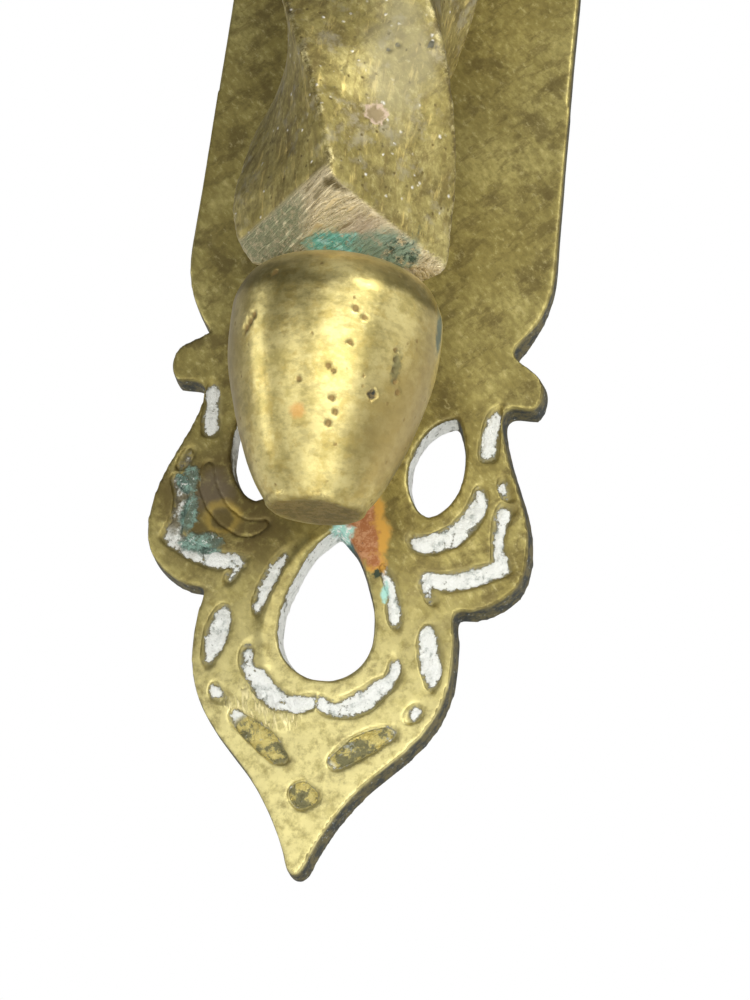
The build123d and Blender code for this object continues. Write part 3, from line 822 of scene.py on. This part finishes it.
def iron_metal():
    """The strike stud's iron: dark scale, a rubbed dome and patches of rust."""
    finish = Finish("stud_iron", IRON, 0.48)
    finish.layer(finish.patches(1.8, 6, 0.65, 0.4, 0.65), (0.07, 0.065, 0.06), 0.62, 0.7)
    rust = finish.patches(2.6, 6, 0.7, 0.48, 0.6)
    finish.layer(rust, RUST, 0.85, 0.1)
    finish.layer((rust, finish.patches(0.7, 4, 0.55, 0.5, 0.62)), RUST_FRINGE, 0.9)
    dome_top = (0, mm_box("strike_stud")[0][1], mm_centre("strike_stud")[2])
    finish.mark(dome_top, 2.4, 0.9, 0.8, EVEN, 1.0, (0.45, 0.43, 0.40), 0.3, 1.0)
    finish.layer(finish.clouds(1.2, 5, 0.6), relief=0.1)
    finish.layer(finish.clouds(0.3, 3, 0.7), relief=0.04)
    return finish.done()


def zinc_steel():
    """Plated steel: dull zinc with a mottled bloom and a little rust in small patches."""
    finish = Finish("zinc_steel", STEEL, 0.36)
    finish.layer(finish.patches(1.4, 5, 0.55, 0.42, 0.6), (0.36, 0.36, 0.35), 0.52)
    finish.layer(finish.patches(2.0, 6, 0.7, 0.58, 0.7), (0.66, 0.66, 0.62), 0.8, 0.2)
    finish.layer(finish.patches(1.1, 6, 0.7, 0.63, 0.72), RUST, 0.85, 0.1)
    finish.layer(finish.clouds(0.25, 3, 0.6), relief=0.02)
    scratched(finish, (18, 1, 18))
    return finish.done()


def pale_floor():
    """A pale matt floor with a barely visible grain, which glows a little to stay pale."""
    finish = Finish("pale_floor", (0.80, 0.80, 0.79), 0.85, 0.0)
    finish.layer(finish.patches(60, 4, 0.55, 0.4, 0.6), (0.78, 0.78, 0.77))
    material = finish.done()
    shader = next(node for node in material.node_tree.nodes if node.type == "BSDF_PRINCIPLED")
    shader.inputs["Emission Color"].default_value = (1, 1, 1, 1)
    shader.inputs["Emission Strength"].default_value = 0.4
    return material


# ---- plate ----

HOLES = (  # each piercing's middle, and half its width and height
    (drop(0, 36.5), 7.6, 11.6),
    (drop(11.8, 16.4), 4.8, 8.4),
    (drop(-11.8, 16.4), 4.8, 8.4),
)
SILTED_ARC = (drop(-19.4, 17.5), drop(-18.6, 20.5), drop(-16.1, 24.5), drop(-12.8, 27.0), drop(-9.0, 27.8))
RIM_RIDGE = (drop(-3.4, 28.2), drop(-6.2, 32.4), drop(-7.7, 36.6), drop(-8.1, 41.2), drop(-7.2, 45.2))


def near_path(points, path):
    """Each point's distance from a chain of straight runs, seen from the front."""
    flat = points[:, (0, 2)]
    nearest = np.full(len(points), 1e9)
    for start, end in zip(path[:-1], path[1:]):
        start, run = start[[0, 2]], (end - start)[[0, 2]]
        share = np.clip(((flat - start) @ run) / (run @ run), 0, 1)
        nearest = np.minimum(nearest, np.linalg.norm(flat - start - share[:, None] * run, axis=1))
    return nearest


def hole_walls(points, wall):
    """1 on the walls of the lower finial's piercings, 0 elsewhere."""
    inside = np.zeros(len(points))
    for middle, half_w, half_h in HOLES:
        across = (points[:, 0] - middle[0]) / half_w
        up = (points[:, 2] - middle[2]) / half_h
        inside = np.maximum(inside, (np.hypot(across, up) < 1) * wall)
    return inside


def drafted(points, normals, wall, edges):
    """The points with the finials' outer edge filed back at the front, mostly on its right."""
    mirrored = points * (1, 1, 0) - np.abs(points) * (0, 0, 1)
    outer = wall - hole_walls(mirrored, wall)
    outer *= smooth(-NOTCH_Z - 5, -NOTCH_Z + 1, np.abs(points[:, 2]))
    amount = outer * DRAFT * (0.2 + 0.8 * smooth(-0.3, 0.4, normals[:, 0]))
    inwards = -normals * (1, 0, 1) * amount[:, None]
    spread = relaxed(outer, edges, 8)
    shift = relaxed(inwards, edges, 8) / np.maximum(spread, 0.001)[:, None]
    reach = np.clip(spread * 2.4, 0, 1) * np.clip(1 - (points[:, 1] - PLATE_FRONT) / 4, 0, 1)
    return points + shift * reach[:, None]


def thinned_back(mesh):
    """The mesh with its flat back made of fewer faces."""
    flat = np.where((points_of(mesh)[:, 1] > -0.1) & (normals_of(mesh)[:, 1] > 0.95))[0]
    holder = link(mesh)
    group = holder.vertex_groups.new(name="back")
    group.add(flat.tolist(), 1.0, "REPLACE")
    thin = holder.modifiers.new("thin", "DECIMATE")
    thin.ratio = BACK_KEEP
    thin.vertex_group = "back"
    return applied(holder)


def groove_floors(points, normals):
    """1 on the floor of every groove, and 1 only on the floor of the one that has silted up."""
    depth = points[:, 1] - PLATE_FRONT
    floor = smooth(0.45, 0.75, depth) * (1 - smooth(1.0, 1.4, depth)) * smooth(0.6, 0.9, -normals[:, 1])
    return floor, floor * (1 - smooth(1.2, 1.8, near_path(points, SILTED_ARC)))


def keep_stains_and_shade(mesh, points, side, floor, silted, groove):
    """Keeps where the plate's walls are dark, with painted shade on the lower finial's left-facing walls,
    where old polish is left and where dirt surrounds it.
    """
    edges, normals = edges_of(mesh), normals_of(mesh)
    field = (floor - silted) * smooth(NOTCH_Z - 52, NOTCH_Z - 45, -np.abs(points[:, 2]))
    store(mesh, "soiled", relaxed(field, edges, 40) * (1 - smooth(0.2, 0.8, silted)))
    wall = side * smooth(0.25, 0.8, points[:, 1] - PLATE_FRONT)
    # painted shade: the lower finial's left-facing walls are marked dark along with the other walls
    left_wall_shade = wall * smooth(0.1, 0.5, -normals[:, 0]) * smooth(50, 54, np.abs(points[:, 2]))
    left_wall_shade = np.clip(relaxed(left_wall_shade, edges, 2) * 1.6, 0, 1)
    store(mesh, "wall", np.maximum(wall, left_wall_shade))
    chalky = hole_walls(points, wall) * smooth(-0.35, 0.15, normals[:, 0] - 0.55 * normals[:, 2])
    chalky *= smooth(-1.7, -0.7, fractal(points, 3.0, 51))
    store(mesh, "groove", np.maximum(groove, chalky))


def filled(points, edges, floor, groove, near_silt):
    """The points with ragged grooves, nearly filled with old polish, and one silted up flush."""
    near_groove = smooth(0.02, 0.3, groove)[:, None]
    wander = np.stack([fractal(points, 2.3, 12), 0 * groove, fractal(points, 2.3, 14)], axis=1)
    points = points + GROOVE_WANDER * wander * near_groove
    points += (relaxed(points, edges, 6) - points) * near_groove
    fill = GROOVE_FILL * relaxed(floor, edges, 2) * (1 + 0.3 * fractal(points, 1.1, 11))
    points[:, 1] -= np.clip(fill, 0, GROOVE_DEPTH)
    points[:, 1] += (PLATE_FRONT + 0.04 - points[:, 1]) * near_silt
    return points


def plate_mesh():
    """The cast plate: soft edges, grooves nearly filled with old polish, and a cast surface."""
    mesh = even_copy("plate", "back_plate")
    edges = edges_of(mesh)
    points = relaxed(points_of(mesh), edges, 2)
    move(mesh, points)
    normals = normals_of(mesh)
    front = smooth(0.5, 0.9, -normals[:, 1])
    floor, silted = groove_floors(points, normals)
    groove = np.clip(relaxed(floor - silted, edges, 8) * 1.7, 0, 1)
    near_silt = smooth(0.03, 0.15, relaxed(silted, edges, 6))
    side = smooth(0.45, 0.8, np.hypot(normals[:, 0], normals[:, 2])) * (1 - floor) * (1 - near_silt)
    keep_stains_and_shade(mesh, points, side, floor, silted, groove)
    store(mesh, "bulge", bulge_of(mesh) * front * (1 - floor) * (1 - near_silt))

    points = filled(drafted(points, normals, side, edges), edges, floor, groove, near_silt)
    ridge = RIDGE_H * np.exp(-((near_path(points, RIM_RIDGE) / RIDGE_W) ** 2))
    points[:, 1] -= front * ridge * (1 - floor) * (1 + 0.4 * noise(points, 1.5, 15))
    cast = 0.04 * fractal(points, 9.0, 21) + 0.012 * fractal(points, 1.6, 31)
    points += normals * cast[:, None]
    points[:, 2] -= FINIAL_SKEW * points[:, 0] * (1 - smooth(NOTCH_Z - 8, NOTCH_Z + 8, points[:, 2]))
    move(mesh, np.clip(points, plate_low, plate_high))
    return thinned_back(mesh)


# ---- arm ----


def bar_faces(s):
    """The bar's planes at a height: direction, distance from the axis, and whether it was filed."""
    along = np.clip((s - FOOT_S - PLAIN_L) / (HEAD_S - FOOT_S - PLAIN_L * 2), 0, 1)
    turn = TWIST * (along - TWIST_EASE * np.sin(TURN * along) / TURN)
    corners = [
        np.array((radius * math.cos(math.radians(azimuth)), radius * math.sin(math.radians(azimuth))))
        for azimuth, radius in CORNERS
    ]
    faces = []
    for corner, following in zip(corners, corners[1:] + corners[:1]):
        run = following - corner
        outwards = np.array((run[1], -run[0])) / np.linalg.norm(run)
        azimuth = math.atan2(outwards[1], outwards[0])
        faces.append((azimuth + turn, corner @ outwards, False))
    for azimuth, radius, rise in FOOT_FACETS:
        faces.append((math.radians(azimuth), radius + np.maximum(s - FOOT_S, 0) / rise, True))
    for azimuth, _ in CORNERS:
        towards = math.radians(azimuth + 45) + TWIST
        reach = HEAD_FACET_R + np.maximum(HEAD_S - s, 0) / HEAD_FACET_RISE
        faces.append((towards, reach, False))
    return faces


def bar_skin(theta, s):
    """The bar's radius, and how far the foot's filed facets make its skin."""
    total, filed = 0, 0
    for azimuth, distance, is_filed in bar_faces(s):
        share = (np.maximum(np.cos(theta - azimuth), 0) / distance) ** ARRIS_SHARPNESS
        total = total + share
        filed = filed + share * is_filed
    return total ** (-1 / ARRIS_SHARPNESS), filed / total


BAR_DENTS = (  # direction, height, radius, depth
    (-70, 25.3, 1.7, 0.30),
    (-41, 35.6, 0.8, 0.55),
    (-60, 35.0, 0.6, 0.30),
    (-66, 34.2, 0.5, 0.30),
    (-97, 30.5, 0.9, 0.25),
    (-100, 27.5, 0.7, 0.25),
    (-134, 20.7, 1.2, 0.20),
)
ACORN_DENTS = (
    (-53, -11.0, 0.75, 0.8),
    (-82, -8.7, 0.55, 0.35),
    (-79, -9.2, 0.45, 0.30),
    (-99, -10.4, 0.55, 0.30),
    (-77, -12.3, 0.60, 0.40),
    (-74, -13.8, 0.60, 0.40),
    (-78, -15.1, 0.65, 0.45),
    (-71, -5.7, 0.55, 0.35),
    (-71, -1.5, 0.80, 0.30),
    (-66, -2.4, 0.60, 0.25),
    (-136, -3.6, 0.75, 0.45),
    (-133, -2.9, 0.75, 0.45),
    (-130, -2.2, 0.70, 0.40),
    (-44, -5.2, 0.55, 0.50),
    (-43, -6.3, 0.55, 0.50),
    (-42.5, -7.5, 0.60, 0.50),
    (-40, -8.7, 0.60, 0.45),
    (-36, -9.8, 0.60, 0.45),
    (-120, 3.0, 0.8, 0.25),
    (30, -8.0, 0.9, 0.35),
    (110, -4.0, 0.8, 0.35),
    (160, -12.0, 0.9, 0.35),
)


def dented(theta, s, radius, dents):
    """0 to 1 and millimetres: how far into a listed dent each place is, and how deep it is there."""
    share, depth = np.zeros(radius.shape), np.zeros(radius.shape)
    for azimuth, height, reach, deep in dents:
        off = (theta - math.radians(azimuth) + TURN / 2) % TURN - TURN / 2
        wobble = 1 + 0.35 * np.sin(off * radius * 5 + height) * np.cos((s - height) * 4)
        away = np.hypot(off * radius, s - height) / reach * wobble
        here = 1 - smooth(0.25, 1.0, away)
        share = np.maximum(share, here)
        depth = np.maximum(depth, here * deep * 0.6)
    return share, depth


def polar(mesh):
    """Each vertex's direction from the arm's axis, its distance from it and its height along it."""
    local = (points_of(mesh) - ARM_FOOT) @ ARM_TURN
    return np.arctan2(local[:, 1], local[:, 0]), np.hypot(local[:, 0], local[:, 1]), local[:, 2]


def bar_mesh():
    """The twisted bar and its neck, with filed facets, pits and file marks."""
    heights = np.linspace(FOOT_S, HEAD_S, 330)
    path = [(0, ACORN_TOP_S), (NECK_R * 0.6, ACORN_TOP_S), (NECK_R, ACORN_TOP_S), (NECK_R, FOOT_S)]
    path += [(100, s) for s in heights] + [(NECK_R * 0.5, HEAD_S), (0, HEAD_S)]

    def shape(radius, theta, height):
        skin, _ = bar_skin(theta, height)
        skin = np.maximum(skin, NECK_R)
        points = around(skin, theta, height)
        _, depth = dented(theta, height, skin, BAR_DENTS)
        wave = 0.12 * fractal(points, 7.0, 61) + 0.03 * fractal(points, 1.2, 71)
        wave += 0.09 * fractal(points, 1.7, 76) * smooth(10.8, 12.6, skin)
        skin = skin + wave - depth - 0.06 * pits(points, 2.2, 0.7, 0.3, 81)
        return np.minimum(radius, skin)

    mesh = turned("twisted_bar", np.array(path, float), 260, ARM_TURN, ARM_FOOT, shape)
    theta, _, s = polar(mesh)
    store(mesh, "filed", smooth(0.3, 0.7, bar_skin(theta, s)[1]))
    store(mesh, "bulge", bulge_of(mesh))
    return mesh


def arm_head_mesh():
    """The bead and the flat eye above the bar."""
    mesh = even_copy("arm_head", "knocker_arm", 3)
    trim(mesh, ARM_FOOT + ARM_UP * (HEAD_S + 0.2), -ARM_UP)
    points, normals = points_of(mesh), normals_of(mesh)
    cast = 0.05 * fractal(points, 4.0, 91) - 0.1 * pits(points, 3.0, 0.5, 0.3, 95)
    points += normals * np.minimum(cast, 0.02)[:, None]
    hinge = mm_centre("hinge_pin")
    offset = points[:, 1:] - hinge[1:]
    away = np.maximum(np.hypot(*offset.T), 0.01)
    points[:, 1:] = hinge[1:] + offset * np.maximum(PIN_BORE_R / away, 1)[:, None]
    move(mesh, points)
    store(mesh, "bulge", bulge_of(mesh))
    return mesh


def acorn_mesh():
    """The acorn, bored for its stud, with its dents."""
    bore = [(0, STUD_HOLE_S), (STUD_HOLE_R, STUD_HOLE_S), (STUD_HOLE_R, ACORN_TOP_S)]
    shoulder = [(ACORN_SEAT_R, ACORN_TOP_S), (8.6, 7.3), (11.4, 5.6), (12.9, 2.8), (ACORN_R, 0)]
    flank = [(ACORN_R, 0), (12.9, -5.2), (11.9, -9.6), (10.3, -14.8), (8.2, -19.6), (6.4, -22.4)]
    rim = [(6.2, -23.0), (ACORN_END_R, ACORN_END_S), (2.5, ACORN_END_S), (0, ACORN_END_S)]
    outer = np.vstack([curved(shoulder + flank[1:], 12), rounded(rim, 0.3)])
    path = np.vstack([np.array(bore, float), stepped(outer, 0.24)])

    def shape(radius, theta, height):
        skin = (radius > STUD_HOLE_R + 0.1).astype(float)
        points = around(radius, theta, height)
        _, depth = dented(theta, height, radius, ACORN_DENTS)
        wave = 0.07 * fractal(points, 8.0, 101) + 0.012 * fractal(points, 1.4, 111) - 0.08
        flat = smooth(ACORN_END_S + 1.6, ACORN_END_S, height) * 0.15 * fractal(points, 2.5, 121)
        return radius + skin * (wave + flat - depth - 0.04 * pits(points, 3.0, 0.5, 0.3, 131))

    mesh = turned("acorn_body", path, 330, ARM_TURN, ARM_FOOT, shape)
    theta, radius, s = polar(mesh)
    store(mesh, "dent", dented(theta, s, radius, ACORN_DENTS)[0])
    return mesh


# ---- bracket and fixings ----


def bracket_mesh():
    """The forked bracket without its shank."""
    mesh = even_copy("bracket", "hinge_bracket", 3)
    trim(mesh, (0, PAD_FRONT + 0.05, 0), (0, 1, 0))
    points, normals = points_of(mesh), normals_of(mesh)
    cast = 0.05 * fractal(points, 6.0, 141) + 0.02 * fractal(points, 1.8, 151)
    cast -= 0.08 * pits(points, 4.0, 0.6, 0.3, 161)
    move(mesh, points + normals * np.minimum(cast, 0.02)[:, None])
    store(mesh, "bulge", bulge_of(mesh))
    return mesh


def threaded(radius, theta, height):
    """Cuts a thread into the radius where it is the shank's, behind the relief."""
    phase = (height / PITCH - theta / TURN) % 1
    crest = np.clip((np.abs(2 * phase - 1) - 0.15) / 0.7, 0, 1)
    depth = THREAD_DEPTH * (1 - crest) * smooth(RELIEF_L, RELIEF_L + 1, height) * (radius > RELIEF_R)
    above_root = np.maximum(radius - SHANK_R + THREAD_DEPTH, 0)
    return radius - np.minimum(depth, above_root)


def shank_path():
    """Half the section of a threaded shank, from the plate's raised pad to the shank's tip."""
    end = mm_box("strike_stud")[1][1]
    path = [(SHANK_R, PAD_FRONT), (SHANK_R, 0), (RELIEF_R, 0), (RELIEF_R, RELIEF_L), (SHANK_R, RELIEF_L)]
    path += [(SHANK_R, end - TIP_CHAMFER), (SHANK_R - TIP_CHAMFER, end), (0, end)]
    return stepped(np.array(path, float), 0.09)


def bracket_shank_mesh():
    """The bracket's threaded shank."""
    path = np.vstack([[(0, PAD_FRONT)], shank_path()])
    origin = np.array((0, 0, mm_centre("bracket_washer")[2]))
    return turned("bracket_shank", path, 48, TO_BACK, origin, threaded)


def stud_mesh():
    """The strike stud: a hammered head and a threaded shank."""
    low, high = mm_box("strike_stud")
    head = dome(high[0], PAD_FRONT - STRIKE_EDGE_H, low[1], 20) + [(high[0], PAD_FRONT)]
    head = stepped(rounded(head, 0.25), 0.2)
    path = np.vstack([head, shank_path()])

    def shape(radius, theta, height):
        points = around(radius, theta, height)
        beaten = -0.16 * np.abs(noise(points, 2.6, 171)) - 0.05 * np.abs(noise(points, 1.0, 172))
        is_head = (height < PAD_FRONT - 0.05) * smooth(0, 2, radius)
        return threaded(radius, theta, height) + beaten * is_head

    origin = np.array((0, 0, mm_centre("strike_stud")[2]))
    return turned("stud", path, 72, TO_BACK, origin, shape)


def hexagonal(flats):
    """A shape that keeps the radius inside a hexagon with a corner at direction 0."""

    def shape(radius, theta, height):
        off = theta % (TURN / 6) - TURN / 12
        return np.minimum(radius, flats / 2 / np.cos(off))

    return shape


def nut_mesh(name, node):
    """A thin steel nut with chamfered corners."""
    low, high = mm_box(node)
    flats, corner = high[2] - low[2], (high[0] - low[0]) / 2
    thick = high[1] - low[1]
    mouth = NUT_BORE_R + NUT_BORE_CHAMFER
    chamfer = corner - flats / 2 + 0.15
    near = [(NUT_BORE_R, NUT_BORE_CHAMFER), (mouth, 0), (corner - chamfer, 0), (corner, chamfer * 0.55)]
    far = [(radius, thick - height) for radius, height in near[::-1]]
    path = stepped(np.array(near + far + near[:1], float), 0.2)[:-1]
    origin = np.array((0, low[1], mm_centre(node)[2]))
    return turned(name, path, 96, TO_BACK, origin, hexagonal(flats), True)


def ring_mesh(name, turn, origin, inner, outer, thick):
    """A flat washer with softened edges."""
    path = [(inner, 0), (outer, 0), (outer, thick), (inner, thick)]
    path = rounded(path, thick * 0.22, True)
    return turned(name, stepped(np.vstack([path, path[:1]]), 0.3)[:-1], 72, turn, origin, None, True)


def washer_mesh(name, node):
    """The washer at the bottom of a pocket."""
    low, high = mm_box(node)
    origin = np.array((0, low[1], mm_centre(node)[2]))
    return ring_mesh(name, TO_BACK, origin, NUT_BORE_R, (high[0] - low[0]) / 2, high[1] - low[1])


def pin_mesh():
    """The hinge pin, with its domed head on the left."""
    low, high = mm_box("hinge_pin")
    centre = mm_centre("hinge_pin")
    head_r = (high[2] - low[2]) / 2
    root_x = mm_box("eye_washers")[0][0] - PIN_ROOT_L
    tip = high[0] - root_x
    path = dome(head_r, -PIN_HEAD_EDGE_H, low[0] - root_x) + [(head_r, 0), (PIN_R, 0)]
    path += [(PIN_R, tip - PIN_TIP_CHAMFER), (PIN_R - PIN_TIP_CHAMFER, tip), (0, tip)]
    path = stepped(rounded(path, 0.15), 0.3)
    return turned("pin", path, 72, TO_RIGHT, np.array((root_x, centre[1], centre[2])))


def cap_nut_mesh():
    """The domed nut on the pin's right end."""
    low, high = mm_box("pin_nut")
    centre = mm_centre("pin_nut")
    flats, corner = high[1] - low[1], (high[2] - low[2]) / 2
    length, well = high[0] - low[0], mm_box("hinge_pin")[1][0] - low[0]
    path = [(0, well), (CAP_BORE_R, well), (CAP_BORE_R, 0.3), (CAP_BORE_R + 0.28, 0)]
    path += [(corner - 0.5, 0), (corner, 0.35), (corner, CAP_HEX_L - 0.3), (flats / 2, CAP_HEX_L)]
    path += dome(flats / 2, CAP_EDGE_L, length)[::-1]
    origin = np.array((low[0], centre[1], centre[2]))
    return turned("cap_nut", stepped(np.array(path, float), 0.2), 96, TO_RIGHT, origin, hexagonal(flats))


def eye_washer_meshes():
    """The thin washer on each side of the arm's eye."""
    low, high = mm_box("eye_washers")
    centre = mm_centre("eye_washers")
    made = []
    for name, x in (("eye_washer_left", low[0]), ("eye_washer_right", high[0] - EYE_WASHER_T)):
        origin = np.array((x, centre[1], centre[2]))
        outer = (high[2] - low[2]) / 2
        made.append(ring_mesh(name, TO_RIGHT, origin, EYE_WASHER_BORE_R, outer, EYE_WASHER_T))
    return made


# ---- the object ----


def build():
    """Every piece, with its finish, on its body."""
    pin_finish, zinc = turned_brass(), zinc_steel()
    finished(plate_mesh(), plate_brass(), "plate", "cast_brass", "back_plate")
    finished(bracket_mesh(), bracket_brass(), "plate", "cast_brass", "hinge_bracket")
    finished(bracket_shank_mesh(), pin_finish, "plate", "cast_brass", "hinge_bracket")
    finished(stud_mesh(), iron_metal(), "plate", "iron", "strike_stud")
    for place in ("bracket", "strike"):
        washer, nut = f"{place}_washer", f"{place}_lock_nut"
        finished(washer_mesh(f"{place}_ring", washer), zinc, "plate", "steel", washer)
        finished(nut_mesh(f"{place}_hex_nut", nut), zinc, "plate", "steel", nut)
    finished(pin_mesh(), pin_finish, "plate", "turned_brass", "hinge_pin")
    finished(cap_nut_mesh(), pin_finish, "plate", "turned_brass", "pin_nut")
    for mesh in eye_washer_meshes():
        finished(mesh, pin_finish, "plate", "turned_brass", "eye_washers")
    finished(bar_mesh(), bar_brass(), "arm", "twisted_brass", "knocker_arm")
    head_finish = arm_base("arm_head_brass").done()
    finished(arm_head_mesh(), head_finish, "arm", "twisted_brass", "knocker_arm")
    finished(acorn_mesh(), acorn_brass(), "arm", "turned_brass", "acorn")
    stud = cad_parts["acorn_stud"]
    stud.data.materials.clear()
    stud.data.materials.append(zinc)


# ---- the studio ----

STUDIO_CENTRE = drop(0, 20)
FLOOR_Z = -650.0


def softbox(name, azimuth, elevation, distance, width, height, power, tint=(1, 1, 1)):
    """A rectangular light that faces the lower finial; azimuth 0 is in front, 90 to the right."""
    data = bpy.data.lights.new(name, "AREA")
    data.shape = "RECTANGLE"
    data.size, data.size_y = width * MM, height * MM
    data.energy = power
    data.color = tint
    turn, rise = math.radians(azimuth), math.radians(elevation)
    out = Vector((math.sin(turn) * math.cos(rise), -math.cos(turn) * math.cos(rise), math.sin(rise)))
    lamp = bpy.data.objects.new(name, data)
    bpy.context.scene.collection.objects.link(lamp)
    lamp.location = (Vector(STUDIO_CENTRE) + out * distance) * MM
    lamp.rotation_mode = "QUATERNION"
    lamp.rotation_quaternion = out.to_track_quat("Z", "Y")
    lamp.visible_camera = False


def studio():
    """Soft lights, a white backdrop and a pale floor."""
    softbox("front_low", 14, -3, 700, 640, 520, 2.4)
    softbox("front_left", -34, -6, 700, 300, 440, 0.5)
    softbox("key", 38, 34, 900, 300, 300, 2.2)
    softbox("above", 0, 64, 800, 600, 420, 0.4)
    softbox("right", 80, 16, 700, 500, 620, 0.9)
    softbox("left_strip", -76, 0, 600, 70, 440, 0.5)
    softbox("below", 12, -56, 700, 700, 600, 1.6)
    softbox("back_right", 128, 0, 800, 900, 900, 1.8, (1.0, 0.98, 1.0))
    softbox("back_left", -128, 0, 800, 900, 900, 0.8, (1.0, 0.98, 1.0))
    world = bpy.data.worlds.new("studio")
    bpy.context.scene.world = world
    world.use_nodes = True
    nodes, links = world.node_tree.nodes, world.node_tree.links
    nodes.clear()
    around, backdrop = nodes.new("ShaderNodeBackground"), nodes.new("ShaderNodeBackground")
    around.inputs["Color"].default_value = (0.10, 0.10, 0.10, 1)
    backdrop.inputs["Color"].default_value = (1, 1, 1, 1)
    mix = nodes.new("ShaderNodeMixShader")
    seen = nodes.new("ShaderNodeLightPath")
    links.new(seen.outputs["Is Camera Ray"], mix.inputs[0])
    links.new(around.outputs[0], mix.inputs[1])
    links.new(backdrop.outputs[0], mix.inputs[2])
    links.new(mix.outputs[0], nodes.new("ShaderNodeOutputWorld").inputs["Surface"])
    bpy.context.scene.view_settings.view_transform = "Standard"

    reach = 12000.0
    corners = [(-reach, -reach), (reach, -reach), (reach, reach), (-reach, reach)]
    mesh = bpy.data.meshes.new("floor")
    mesh.from_pydata([(x * MM, y * MM, FLOOR_Z * MM) for x, y in corners], [], [(0, 1, 2, 3)])
    mesh.materials.append(pale_floor())
    floor = link(mesh)


def camera():
    """A long lens below the knocker and a little to its right, rolled slightly."""
    azimuth, elevation, roll = (math.radians(angle) for angle in (8.87, -18.99, 6.82))
    distance = 309.46
    aim = Vector(drop(4.32, 21.9))
    out = Vector(
        (
            math.sin(azimuth) * math.cos(elevation),
            -math.cos(azimuth) * math.cos(elevation),
            math.sin(elevation),
        )
    )
    data = bpy.data.cameras.new("camera")
    data.lens, data.sensor_width = 86.4, 36
    data.clip_start, data.clip_end = 0.01, 20
    made = bpy.data.objects.new("camera", data)
    bpy.context.scene.collection.objects.link(made)
    look = (-out).to_track_quat("-Z", "Y").to_matrix() @ Matrix.Rotation(roll, 3, "Z")
    made.matrix_world = Matrix.Translation((aim + out * distance) * MM) @ look.to_4x4()
    bpy.context.scene.camera = made


build()
studio()
camera()
